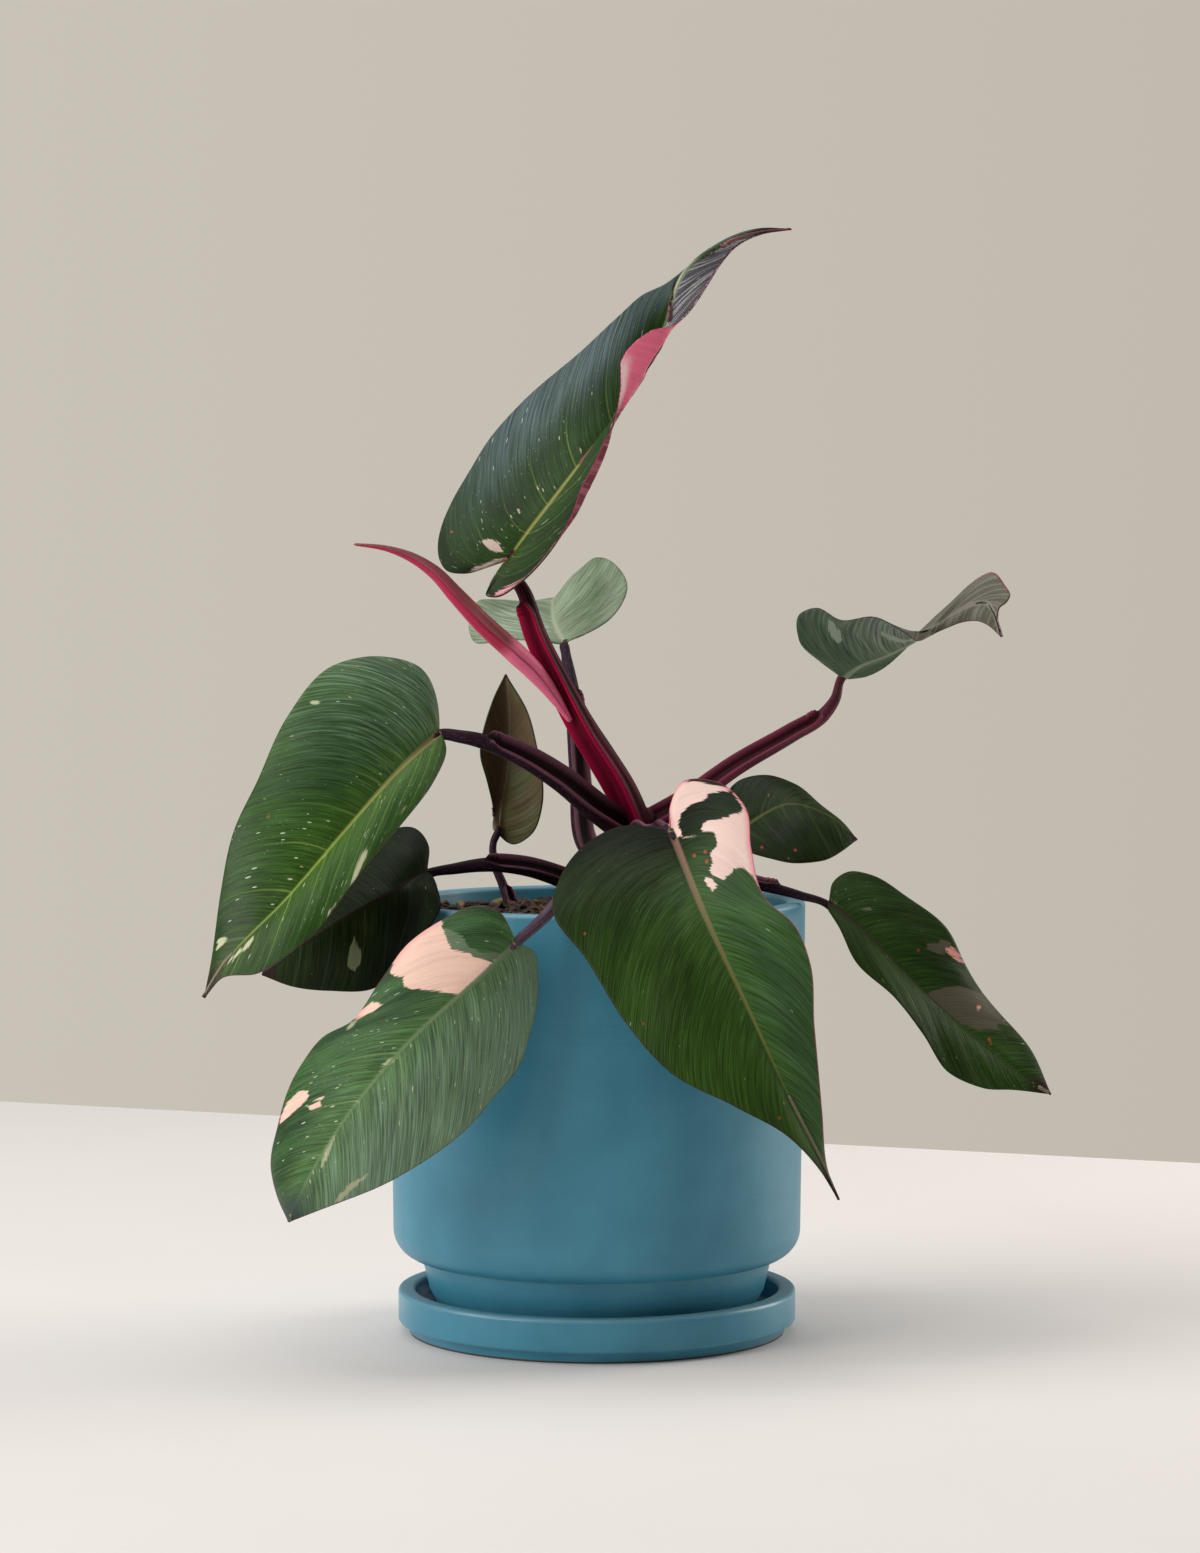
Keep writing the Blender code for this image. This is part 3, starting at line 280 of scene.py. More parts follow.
# Patches without green, drawn on each blade as outlines of (x, z) places: pink, cream where some
# white is left over green, grey where a thin pale layer lies over green, and green islands in the pink.
MARKS = {
    "leaf_front": dict(
        pink=[[(22.9, 163.2), (22.7, 169.3), (23.7, 175), (26.2, 177.1), (29.6, 177.5), (37, 176),
               (41.8, 175.3), (44.5, 172), (46.5, 168.3), (48.4, 163.4), (49.7, 157.6), (50.4, 150.4),
               (49.9, 145.3), (48.5, 147.5), (47.4, 150.1), (44.2, 152.6), (42, 152.3), (40.8, 150.8),
               (38.3, 148.8), (35.3, 149.9), (34.2, 151.3), (35.4, 153.6), (34.6, 156.2), (36.5, 158.7),
               (36.6, 161), (35.7, 162.1), (32.1, 162.4), (28.7, 160.9), (27.1, 160.6), (25, 160.6)],
              [(25, 162.3), (27.1, 161.7), (26.8, 160.3), (25.3, 160.3)],
              [(31.4, 159.5), (33.5, 159.2), (34.1, 157.8), (32.2, 157.2)],
              [(32.9, 149.9), (35, 149.3), (36.5, 146.8), (35.2, 145.7), (33.1, 147.6)]],
        green=[[(25, 164), (26, 167.8), (28.9, 170.5), (33.2, 171.5), (34.8, 173.3), (38.8, 174.3),
                (41.8, 174.4), (43.3, 172), (44.7, 170), (44.7, 168.2), (42.2, 167.8), (38.9, 166.3),
                (34, 165.3), (32.7, 164.7), (32.1, 162.4), (28.7, 160.9), (27.1, 160.6)],
               [(35.7, 162.1), (36.6, 161), (36.5, 158.7), (34.6, 156.2), (35.4, 153.6), (34.2, 151.3),
                (31.4, 148.8), (28.4, 151), (25.5, 157.2), (25, 160.6), (28.7, 160.9), (32.1, 162.4)]],
    ),
    "leaf_left_front": dict(
        pink=[[(-46.8, 138), (-51.6, 135.6), (-56.1, 132.3), (-59.9, 126.7), (-62, 122), (-59.9, 121.1),
               (-57.5, 120.8), (-57.8, 118.4), (-54.7, 117.6), (-46.6, 117.2), (-41, 116.4), (-34.8, 121.6),
               (-29.2, 127.3), (-31.3, 125.6), (-36.5, 126.9), (-38, 128.3), (-43.1, 128.8), (-44.6, 131.7),
               (-45.9, 134.7)],
              [(-74.1, 107.4), (-70.4, 110.8), (-67.1, 113.5), (-63.5, 113), (-66.2, 110.5), (-68.6, 109.6),
               (-71.7, 108)],
              [(-95.8, 75.2), (-94.8, 79.3), (-93.5, 81.8), (-89.7, 85.7), (-86.3, 86.2), (-86.9, 83.8),
               (-89.7, 80.8), (-92.3, 77.9)],
              [(-86.9, 81.6), (-81.2, 85.4), (-82.8, 82.2), (-85.9, 80.5)]],
        grey=[[(-45.9, 135.6), (-40.1, 133.2), (-38.6, 130.3), (-34.4, 128.6), (-28.3, 128.1),
               (-29.8, 125.6), (-36.4, 126.3), (-38, 127.7), (-43.1, 128.2), (-45.2, 131.7), (-46.5, 134.7)]],
        cream=[[(-64.4, 94.5), (-63.5, 96.5), (-60.7, 97.9), (-58.3, 98), (-60.1, 96.2), (-62.5, 94.8)],
               [(-82.8, 63.3), (-82.4, 67.5), (-80.5, 71.2), (-78, 75), (-77.4, 74.1), (-79.3, 69),
                (-81.6, 64)],
               [(-79, 52.5), (-77.8, 55.6), (-73.5, 59.8), (-67.3, 63.6), (-69.2, 60.5), (-73.5, 56.7),
                (-76.6, 53.2)],
               [(-75.3, 105.2), (-73.5, 107.1), (-71.1, 108), (-72.6, 105.9), (-75.1, 104)]],
    ),
    "leaf_left_upper": dict(
        cream=[[(-70.2, 159), (-69.5, 157.3), (-69.7, 155.6), (-71.4, 151.8), (-73.7, 147.7), (-75, 146.4),
                (-74.3, 150), (-73, 153.4), (-71.7, 156.5)],
               [(-77, 144.3), (-78.3, 142.1), (-80.4, 138.9), (-82.3, 137.1), (-81.3, 139.8), (-79.1, 142.3)],
               [(-103.1, 132.5), (-103.8, 130.3), (-106.6, 127.1), (-110.2, 124.2), (-113.4, 121.9),
                (-111.5, 124.7), (-108.8, 127.5), (-105.9, 130.1)],
               [(-110.5, 132.4), (-112.5, 131.5), (-115.3, 130.3), (-115.9, 127.1), (-116.1, 125.3),
                (-114.6, 127.2), (-112.8, 129.6), (-111.1, 131.2)],
               [(-89.4, 201.8), (-88.6, 202.6), (-86.4, 202.8), (-85.3, 201.9), (-86.4, 201.1), (-88.6, 201)],
               [(-77.3, 204), (-76.5, 204), (-75.6, 202.7), (-75.7, 202), (-76.7, 202.7)],
               [(-58.2, 171.1), (-58.3, 170), (-59.9, 167.9), (-61.1, 166.6), (-60.7, 168.2), (-59.5, 170)],
               [(-76.2, 213.1), (-74.2, 213.1), (-73.8, 212.4), (-75.9, 212.4)]],
    ),
    "leaf_left_dark": dict(
        cream=[[(-74.6, 131.4), (-73.9, 129), (-73.5, 127.2), (-72.3, 124.2), (-72.6, 121.6),
                (-73.9, 120.3), (-74.5, 118.7), (-75.7, 119.2), (-77.1, 120.8), (-76.7, 123.8),
                (-75.9, 127.5), (-75.3, 129.8)]],
    ),
    "leaf_right_low": dict(
        grey=[[(102.9, 109.7), (104.5, 110.5), (106.1, 111.2), (108.9, 112.1), (113.9, 112.2), (117, 111.1),
               (120.9, 110), (123.3, 109.6), (124.7, 106.8), (126.7, 103.1), (129.8, 99.4), (126.4, 100.5),
               (125.7, 99.8), (126.7, 98.8), (123.1, 98.9), (118.7, 99.3), (114.5, 100.6), (110.9, 102.7),
               (107.9, 105.1), (104.9, 107.2)],
              [(103.1, 124.6), (106.1, 125.7), (107.6, 125.3), (108.6, 126.5), (111.1, 125.7),
               (112.1, 124.1), (110.4, 123.5), (109.1, 123.1), (110.3, 121.8), (107.1, 121.9),
               (104.4, 123.4)]],
        pink=[[(108.9, 123.4), (112.1, 124.1), (114.4, 121.3), (116, 118.7), (113.7, 119.6), (111.2, 121.8)],
              [(119, 104.8), (119.4, 105.9), (120.2, 106.1), (120.4, 105.4), (119.8, 104.4), (119.2, 104.4)]],
        cream=[[(74, 139.7), (75.4, 138.5), (77.7, 136.6), (77.4, 136), (75.1, 137.4), (73.7, 139.1)],
               [(83.1, 136.6), (85.4, 136.6), (87.3, 136), (87.2, 135.4), (85, 135.4), (83.2, 135.8)]],
    ),
    "leaf_right_twisted": dict(
        cream=[[(73.5, 228.6), (76, 226.9), (78.6, 223.7), (79.5, 220.9), (77.4, 219.5), (75.7, 220.5),
                (74.3, 224.3)],
               [(90.2, 223.4), (91.9, 224.1), (94.5, 222.5), (98.4, 221.6), (102.9, 221.2), (102.3, 220.1),
                (99, 219.3), (96.4, 219.5), (93.5, 220.7), (90.8, 222)]],
    ),
    "leaf_top": dict(
        cream=[[(-36.2, 251.9), (-35.6, 253.1), (-32.7, 253.1), (-30.5, 251.8), (-29.9, 251.2),
                (-30.5, 250.6), (-29.2, 248.7), (-31.4, 248.1), (-33.7, 249), (-35.6, 250.9)],
               [(-40.3, 242.7), (-38.4, 244.3), (-35.6, 245.2), (-32.4, 246.5), (-28.3, 247.1),
                (-28.9, 245.8), (-31.7, 245.2), (-34.9, 243.7), (-38.1, 242.7)],
               [(-10.9, 290.7), (-10, 290.1), (-9.4, 287.8), (-10.6, 287.9)],
               [(-5.3, 282.4), (-4.3, 281.5), (-4.6, 279), (-5.6, 279.3)],
               [(-18.8, 270), (-17.9, 269.7), (-17.8, 267.8), (-18.8, 268.1)],
               [(-25.1, 262.5), (-23.9, 262.5), (-23.9, 260.6), (-24.8, 260.6)],
               [(-27, 257.8), (-25.7, 257.8), (-25.7, 255.9), (-26.7, 255.9)]],
        pink=[[(-32.5, 233), (-31.6, 235.5), (-28.7, 237.4), (-25.3, 238.9), (-22.1, 240.5), (-22.8, 239.2),
               (-25.3, 237.7), (-28.7, 236.1), (-30.9, 233.6)]],
    ),
    "leaf_right_rear": dict(
        cream=[[(55.6, 170.4), (56.2, 170.7), (56.6, 169.5), (56.2, 168.6), (55.6, 168.8)]],
    ),
}

# Orange flecks on the upper faces, as (x, z) places.
FLECKS = {
    "leaf_front": [(33.2, 156.7), (29.9, 155.5), (33.6, 153.9), (-3.7, 133.7), (13.7, 108.0), (54.0, 80.5)],
    "leaf_top": [(-46.0, 255.1), (2.1, 277.0)],
    "leaf_right_rear": [(53.2, 153.8), (63.7, 153.0)],
    "leaf_left_upper": [(-100.6, 167.5)],
    "leaf_right_low": [(123.1, 95.0), (122.6, 96.2), (101.1, 123.4)],
}
FLECK_RADIUS = 0.5

# How finely each blade is laid out (rows to the tip, columns a half) and how many side veins a half has.
DETAIL = {
    "leaf_top": (200, 44, 9),
    "leaf_left_upper": (200, 44, 9),
    "leaf_front": (200, 48, 9),
    "leaf_left_front": (170, 40, 8),
}
PLAIN_DETAIL = (120, 28, 7)

# Colours of each blade: its upper face, then its underside. Deep and mid are the two greens, fresh the
# yellower green beside the midrib, half the tint of one half (half_side -1 is the left),
# painted_sheen_colour the colour of a painted sheen, pale streaks that stand for the lights' reflection,
# painted_sheen how strong it is; it sets in from painted_sheen_from to painted_sheen_to across the blade and
# from painted_sheen_low to painted_sheen_high along it in hundredths, painted_shade the share of a painted
# shade of dark green over shade_run, wrinkle_shading the contrast of the painted shade and highlight along
# wrinkles between the veins, specks the share of pale dashes, margin the tint of one margin and
# margin_right that of the other.
UPPER = dict(deep="14260F", mid="223C18", fresh="35521C", half="24401F", half_share=0.0, half_side=-1,
             painted_shade=0.0, shade_run=(38, 6), wrinkle_shading=1.0, vein="6A8040", vein_share=0.3,
             rib_base="6A5546", rib_tip="74823F", rib_start=1.1, rib_end=0.2, rib_stop=300,
             rib_turn=(5, 75), painted_sheen_colour="6F8C84", painted_sheen=0.12, painted_sheen_share=0.3, painted_sheen_from=0.6, painted_sheen_to=-0.6,
             painted_sheen_low=-30, painted_sheen_high=-10, specks=0.3, margin="2E1A20", margin_right="2E1A20",
             margin_width=0.1, tip="2A1A1C", pink="E3B5A9", pink_pale="EFCCC2", pink_deep="D9808E",
             pink_margin="D98A95", cream="A9AE8E", grey="5F7258", rough=0.32, shine=0.22, zone_from=200.0)
UNDER = dict(base="4A4434", streak="5E5A40", rib="76705A", margin="3A1A22", pink="E0647F", line=0.2,
             flap=0.0, red_from=200.0, patchy=0.0)
BLADES = {
    "leaf_top": (
        dict(deep="132210", mid="213A12", fresh="34501A", vein="85A048", vein_share=0.5, rib_base="868648",
             rib_tip="A8B698", rib_start=0.5, rib_end=0.9, rib_stop=82, rib_turn=(50, 68), painted_sheen_colour="687882",
             painted_sheen=0.68, painted_sheen_share=0.7, wrinkle_shading=0.9, painted_sheen_from=-0.3, painted_sheen_to=-0.8, painted_sheen_low=12,
             painted_sheen_high=42, specks=0.9, margin="3E1826", cream="C8B4A8", pink="EFA7B5", rough=0.34,
             shine=0.14, zone_from=66.0),
        dict(base="7A3A48", streak="B06A78", rib="7A4A50", margin="B83A60", pink="EC6E8E", flap=1.0)),
    "leaf_left_upper": (
        dict(deep="203E18", mid="34581E", fresh="486A1E", painted_shade=0.35, shade_run=(58, 88),
             half="33581A", half_share=0.4, vein="8FAA50", vein_share=0.45, margin_width=0.2, rib_start=1.5,
             rib_base="94825A", rib_tip="82983F", painted_sheen_colour="8CAA92", painted_sheen=0.6, painted_sheen_share=0.45,
             painted_sheen_from=-0.5, painted_sheen_to=0.5, painted_sheen_low=60, painted_sheen_high=15, specks=1.3, margin="7A3A58",
             cream="B9BC98"),
        {}),
    "leaf_front": (
        dict(deep="1E320F", mid="3A5C22", fresh="3E5E24", half="2A3C10", half_share=0.55, half_side=1,
             painted_shade=0.95, margin_width=0.3, rib_start=1.6, rib_turn=(22, 85), rib_base="806458",
             rib_tip="6E7A3C", specks=0.08, painted_sheen_colour="66886E", painted_sheen=0.3, painted_sheen_share=0.7, wrinkle_shading=0.85,
             shade_run=(52, 14), painted_sheen_from=0.4, painted_sheen_to=-0.6, painted_sheen_low=10, painted_sheen_high=40,
             margin="B83A62", margin_right="3A1A26", pink="EACBC0", pink_pale="F6E4DC", pink_deep="E8909E",
             pink_margin="D8507A", shine=0.1, vein_share=0.2),
        {}),
    # On this blade the pale grey-green of one half and the dark bluish grey of the tip are painted sheen
    "leaf_left_front": (
        dict(deep="1C3A1C", mid="38602E", fresh="507036", half="7E9878", half_share=0.65, vein="9AB07E",
             rib_base="6E7660", rib_tip="6E8A5C", rib_start=0.9, tip="3A4A46", specks=1.5, painted_sheen_colour="86A89C",
             painted_sheen=0.4, painted_sheen_share=0.4, painted_sheen_from=0.6, painted_sheen_to=-0.8, pink="EBC3B2", pink_pale="F6DCCE",
             pink_deep="E8A69C", margin="6A3A48", margin_right="6A3A48", margin_width=0.25),
        {}),
    "leaf_left_dark": (
        dict(deep="0D150A", mid="1E2E12", fresh="1E2E10", vein="46563A",
             rib_base="2A2018", rib_tip="2E281A", painted_sheen_colour="2A3A2A", painted_sheen=0.05, specks=0.08, cream="7A8462",
             margin="241014", shine=0.08),
        {}),
    "leaf_right_rear": (
        dict(deep="101C08", mid="1C2E10", fresh="283C12", vein="5A6A34", vein_share=0.4, rib_base="5A5A34",
             rib_tip="4A5228", painted_sheen_colour="5F7064", painted_sheen=0.06, specks=0.08, cream="A08C70", margin="6A3A1A",
             margin_right="6A3A1A", shine=0.08),
        {}),
    "leaf_right_low": (
        dict(deep="182A0E", mid="2C4418", fresh="33501C", vein="4E5E30", rib_base="3E342A",
             rib_tip="384028", painted_sheen_colour="3A5A35", painted_sheen=0.08, specks=0.25, grey="565242", pink="CE8A76",
             cream="7A7A60", margin="2E181A", shine=0.1),
        {}),
    # The greys of this blade's upper face are partly its own colour and partly a painted reflection of the
    # lights
    "leaf_right_twisted": (
        dict(deep="304636", mid="485E48", fresh="566C50", vein="93A292", vein_share=0.35, rib_base="86947C",
             rib_tip="7F8C74", painted_sheen_colour="98A298", painted_sheen=0.7, painted_sheen_share=0.6, painted_sheen_low=15, painted_sheen_high=60,
             specks=0.05, cream="8E9C8C", margin="3A2024"),
        dict(base="545448", streak="7C786E", rib="807A72", margin="4A2A2E", line=0.25, red_from=58.0)),
    "leaf_rear_small": (
        dict(deep="1F3A22", mid="335330"),
        dict(base="54452E", streak="5C4A30", rib="6A5E4A", margin="3A2024", line=0.05, patchy=0.8)),
    # The pale grey-greens of this blade are its green lightened by a painted reflection of the lights, as its
    # upper face is seen at a grazing angle
    "leaf_rear_pale": (
        dict(deep="556849", mid="80907A", fresh="7F9072", vein="B4C0A8", vein_share=0.5, rib_base="9AA28C",
             rib_tip="8F9A80", painted_sheen_colour="B0BEB0", painted_sheen=0.7, painted_sheen_share=0.3, specks=0.0, margin="6A6A54",
             rough=0.45),
        dict(base="627258", streak="A2AE9C", rib="A4AC98", margin="6A6A54", line=0.45)),
}

RGBA = {"data_type": "RGBA"}
SMOOTH = {"interpolation_type": "SMOOTHSTEP"}
TIMES = {"operation": "MULTIPLY"}
TIMES_PLUS = {"operation": "MULTIPLY_ADD"}


def linear(hex_colour):
    """An sRGB hex colour as linear RGBA."""
    parts = [int(hex_colour[i:i + 2], 16) / 255 for i in (0, 2, 4)]
    return [c / 12.92 if c <= 0.04045 else ((c + 0.055) / 1.055) ** 2.4 for c in parts] + [1.0]


def fill(tree, node, inputs):
    """Fills or links a node's inputs. A node stands for its first output, and a text for a colour."""
    for socket, value in inputs.items():
        if isinstance(value, bpy.types.Node):
            value = value.outputs[0]
        if isinstance(value, bpy.types.NodeSocket):
            tree.links.new(value, node.inputs[socket])
        else:
            node.inputs[socket].default_value = linear(value) if isinstance(value, str) else value


def add(tree, kind, inputs=None, settings=None):
    """Adds a node of that kind, makes its settings, and fills or links its inputs."""
    node = tree.nodes.new("ShaderNode" + kind)
    for name, value in (settings or {}).items():
        setattr(node, name, value)
    fill(tree, node, inputs or {})
    return node


def new_material(name):
    """An empty material with its surface shader, whose sockets the caller sets."""
    made = bpy.data.materials.new(name)
    made.use_nodes = True
    return made, made.node_tree, made.node_tree.nodes["Principled BSDF"]


def unit(vectors):
    length = np.linalg.norm(vectors, axis=-1, keepdims=True)
    return vectors / np.maximum(length, 1e-9)


def along(points, fractions):
    """Places at the given shares of the length of a smooth curve through the points."""
    p = np.array(points, float)
    steps = np.linalg.norm(np.diff(p, axis=0), axis=1)
    knots = np.concatenate([[0.0], np.cumsum(steps)]) / steps.sum()
    slopes = np.empty_like(p)
    chords = np.diff(p, axis=0) / np.diff(knots)[:, None]
    before, after = np.diff(knots)[:-1, None], np.diff(knots)[1:, None]
    slopes[1:-1] = (chords[:-1] * after + chords[1:] * before) / (before + after)
    slopes[0], slopes[-1] = chords[0], chords[-1]
    t = np.clip(np.asarray(fractions, float), 0.0, 1.0)
    i = np.clip(np.searchsorted(knots, t, side="right") - 1, 0, len(p) - 2)
    span = (knots[i + 1] - knots[i])[..., None]
    h = (t - knots[i])[..., None] / span
    return ((2 * h**3 - 3 * h**2 + 1) * p[i] + (h**3 - 2 * h**2 + h) * span * slopes[i]
            + (3 * h**2 - 2 * h**3) * p[i + 1] + (h**3 - h**2) * span * slopes[i + 1])


def path_length(path):
    p = np.array(path, float)
    return float(np.linalg.norm(np.diff(p, axis=0), axis=1).sum())


def smooth_step(values, low, high):
    t = np.clip((values - low) / (high - low), 0.0, 1.0)
    return t * t * (3 - 2 * t)


def blade_place(leaf, u, v):
    """Places on a blade: u from the petiole (0) to the tip (1), v from the left margin (-1) to the
    right margin (1), and on to 2 over a flap that folds in over the upper face. A flap lists, by u,
    how far and which way it reaches from the fold to its free edge."""
    start = u ** leaf["fan"]
    origin = along(leaf["rib"], start)
    ahead = unit(along(leaf["rib"], start + 0.02) - along(leaf["rib"], start - 0.02))
    right = v >= 0
    edge = np.where(right[:, None], along(leaf["right"], u), along(leaf["left"], u))
    share = np.minimum(np.abs(v), 1.0)[:, None]
    outward = edge - origin
    width = np.linalg.norm(outward, axis=1, keepdims=True)
    side = np.where(right, 1.0, -1.0)[:, None]
    upward = unit(np.cross(outward, ahead) * side)
    wave_height, wave_count = leaf["wave"]
    ripple = np.sin(2 * math.pi * wave_count * u + side[:, 0]) * np.sin(math.pi * u)
    place = origin + outward * share
    place = place + upward * leaf["bulge"] * width * 4 * share * (1 - share)
    place = place + upward * wave_height * ripple[:, None] * share**2
    if "flap" not in leaf:
        return place
    stations, vectors = zip(*leaf["flap"])
    fold = np.stack([np.interp(u, stations, [vector[k] for vector in vectors]) for k in range(3)], axis=1)
    reach = np.clip(v - 1.0, 0.0, 1.0)
    rise = FLAP_RISE * np.clip(np.linalg.norm(fold, axis=1) / 3 - 0.3, 0.0, 1.0)
    place = place + fold * reach[:, None]
    place[:, 1] -= rise * np.sqrt(1 - (1 - reach) ** 2)
    return place


def nearest(points, line):
    """Distance in mm from each point to the nearest place of a finely divided line."""
    best = np.full(len(points), 1e9)
    for place in line:
        best = np.minimum(best, ((points - place) ** 2).sum(axis=1))
    return np.sqrt(best)


def depth_inside(points, outline):
    """Distance in mm from flat points to a closed outline, positive inside it and negative outside."""
    corners = np.array(outline, float)
    best = np.full(len(points), 1e9)
    inside = np.zeros(len(points), bool)
    for here, there in zip(corners, np.roll(corners, -1, axis=0)):
        run = there - here
        share = np.clip((points - here) @ run / max(run @ run, 1e-9), 0, 1)
        best = np.minimum(best, np.linalg.norm(points - here - share[:, None] * run, axis=1))
        spans = (here[1] > points[:, 1]) != (there[1] > points[:, 1])
        rise = run[1] if abs(run[1]) > 1e-9 else 1e-9
        inside ^= spans & (points[:, 0] < here[0] + run[0] * (points[:, 1] - here[1]) / rise)
    return np.where(inside, best, -best)


def put_attribute(mesh, name, values):
    """Stores one number, or one vector, at each vertex."""
    kind, field = ("FLOAT_VECTOR", "vector") if values.ndim == 2 else ("FLOAT", "value")
    layer = mesh.attributes.get(name) or mesh.attributes.new(name, kind, "POINT")
    layer.data.foreach_set(field, values.astype(np.float32).ravel())


def get_attribute(mesh, name):
    values = np.empty(len(mesh.vertices), np.float32)
    mesh.attributes[name].data.foreach_get("value", values)
    return values


def get_places(mesh):
    places = np.empty(len(mesh.vertices) * 3, np.float32)
    mesh.vertices.foreach_get("co", places)
    return places.reshape(-1, 3).astype(float) / MM


def set_places(mesh, places):
    mesh.vertices.foreach_set("co", (places * MM).astype(np.float32).ravel())
    mesh.update()


def get_normals(mesh):
    normals = np.empty(len(mesh.vertices) * 3, np.float32)
    mesh.vertices.foreach_get("normal", normals)
    return normals.reshape(-1, 3).astype(float)


def start_piece():
    bpy.ops.object.select_all(action="DESELECT")


def finish_piece(thing, name, node):
    """Names a finished piece and ties it to the model: it rides on the body and stands for its node."""
    thing.name = name
    thing.data.name = name
    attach(thing, "root")
    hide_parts(node)


def mend(thing, merge=0.0, outwards=False):
    """Merges places nearer than so many mm, and turns the faces of a closed shell outwards."""
    shell = bmesh.new()
    shell.from_mesh(thing.data)
    if merge:
        bmesh.ops.remove_doubles(shell, verts=shell.verts, dist=merge * MM)
    if outwards:
        bmesh.ops.recalc_face_normals(shell, faces=shell.faces)
    shell.to_mesh(thing.data)
    shell.free()


def blade(name):
    """One blade: a fine sheet over the rails, its veins raised, given a thickness that swells into the
    midrib on the underside."""
    leaf = LEAVES[name]
    rows, half, veins = DETAIL.get(name, PLAIN_DETAIL)
    columns = list(np.linspace(-1, 1, 2 * half + 1))
    if "flap" in leaf:
        columns += list(np.linspace(1, 2, FLAP_COLUMNS + 1)[1:])
    columns = np.array(columns)
    across = len(columns) - 1
    start_piece()
    bpy.ops.mesh.primitive_grid_add(x_subdivisions=across, y_subdivisions=rows, size=2)
    sheet = bpy.context.active_object
    grid = get_places(sheet.data) * MM
    v = columns[np.rint((grid[:, 0] + 1) / 2 * across).astype(int)]
    u = np.rint((grid[:, 1] + 1) / 2 * rows) / rows
    places = blade_place(leaf, u, v)
    set_places(sheet.data, places)

    rib_length = path_length(leaf["rib"])
    fine = np.linspace(0, 1, RAIL_PLACES)
    rib_gap = nearest(places, along(leaf["rib"], fine))
    ends = [blade_place(leaf, fine, np.full(RAIL_PLACES, side)) for side in (-1.0, columns[-1])]
    edge_gap = nearest(places, np.concatenate(ends))
    flat = np.minimum(np.abs(v), 1.0)
    sweep = VEIN_SWEEP * flat**VEIN_CURVE
    vein = (u - sweep) / (1 - sweep)
    origin = along(leaf["rib"], u ** leaf["fan"])
    out = np.linalg.norm(places - origin, axis=1) * np.sign(v)
    put_attribute(sheet.data, "grain", np.stack([vein * rib_length, out, u * 100], axis=1))
    put_attribute(sheet.data, "gaps", np.stack([rib_gap, edge_gap, v], axis=1))
    flat_places = places[:, [0, 2]]
    fleck = np.full(len(u), OUTSIDE)
    for spot in FLECKS.get(name, []):
        fleck = np.maximum(fleck, FLECK_RADIUS - np.linalg.norm(flat_places - spot, axis=1))
    put_attribute(sheet.data, "rust", fleck)
    for kind in ("pink", "cream", "grey"):
        depth = np.full(len(u), OUTSIDE)
        for outline in MARKS.get(name, {}).get(kind, []):
            depth = np.maximum(depth, depth_inside(flat_places, outline))
        if kind == "pink":
            for outline in MARKS.get(name, {}).get("green", []):
                depth = np.minimum(depth, -depth_inside(flat_places, outline))
        depth = np.where(v > 1.05, OUTSIDE, depth)
        put_attribute(sheet.data, kind, depth)

    normals = get_normals(sheet.data)
    # The blade quilts between its side veins, by less beside the midrib and the margins
    inner = smooth_step(rib_gap, 0.8, 5.0) * smooth_step(edge_gap, 0.0, 5.0)
    phase = np.abs(np.sin(math.pi * vein * veins))
    lift = 0.2 * (phase - 0.6) * inner
    lift += 0.04 * np.sin(6 * math.pi * vein * veins) * inner
    # The midrib lies in a shallow trough that runs out towards the tip, with a low ridge along it
    lift += -0.3 * np.exp(-((rib_gap / 1.5) ** 2)) * (1 - u)
    lift += 0.16 * np.exp(-((rib_gap / 0.55) ** 2))
    dents = np.sin(places[:, 0] * 0.21 + places[:, 2] * 0.13) * np.sin(places[:, 2] * 0.17 + 1.3)
    lift += 0.3 * dents * inner
    top = places + normals * (lift + BLADE_BODY / 2)[:, None]
    thick = BLADE_BODY - (BLADE_BODY - BLADE_EDGE) * np.exp(-((edge_gap / 1.5) ** 2))
    thick = thick + RIB_DEPTH * (1 - 0.8 * u) * np.exp(-((rib_gap / (1.5 - 0.9 * u)) ** 2))
    put_attribute(sheet.data, "thick", thick)
    set_places(sheet.data, top)
    mend(sheet, merge=0.02)

    top = get_places(sheet.data)
    normals = get_normals(sheet.data)
    thick = get_attribute(sheet.data, "thick")
    count = len(top)
    upper, under = BLADES[name]
    sheet.data.materials.clear()
    sheet.data.materials.append(blade_upper(name, {**UPPER, **upper}, rib_length, veins))
    sheet.data.materials.append(blade_under(name, {**UNDER, **under}, rib_length, veins))
    wall = sheet.modifiers.new("thickness", "SOLIDIFY")
    wall.thickness = BLADE_BODY * MM
    wall.offset = -1
    wall.material_offset = 1
    wall.material_offset_rim = 0
    bpy.ops.object.modifier_apply(modifier=wall.name)
    both = get_places(sheet.data)
    both[count:] = top - normals * thick[:, None]
    set_places(sheet.data, both)
    sheet.data.shade_smooth()
    finish_piece(sheet, name + "_blade", name)


def blade_fields(tree):
    """What each blade stores: its grain, and from it the place among the veins in mm and along the blade
    in hundredths, then the gaps to its midrib and margin in mm and the place across, -1 to 1."""
    grain, gaps = [add(tree, "Attribute", settings={"attribute_name": kind}).outputs["Vector"]
                   for kind in ("grain", "gaps")]
    vein_place, _, run = add(tree, "SeparateXYZ", {0: grain}).outputs
    rib_gap, edge_gap, side = add(tree, "SeparateXYZ", {0: gaps}).outputs
    return grain, vein_place, run, rib_gap, edge_gap, side


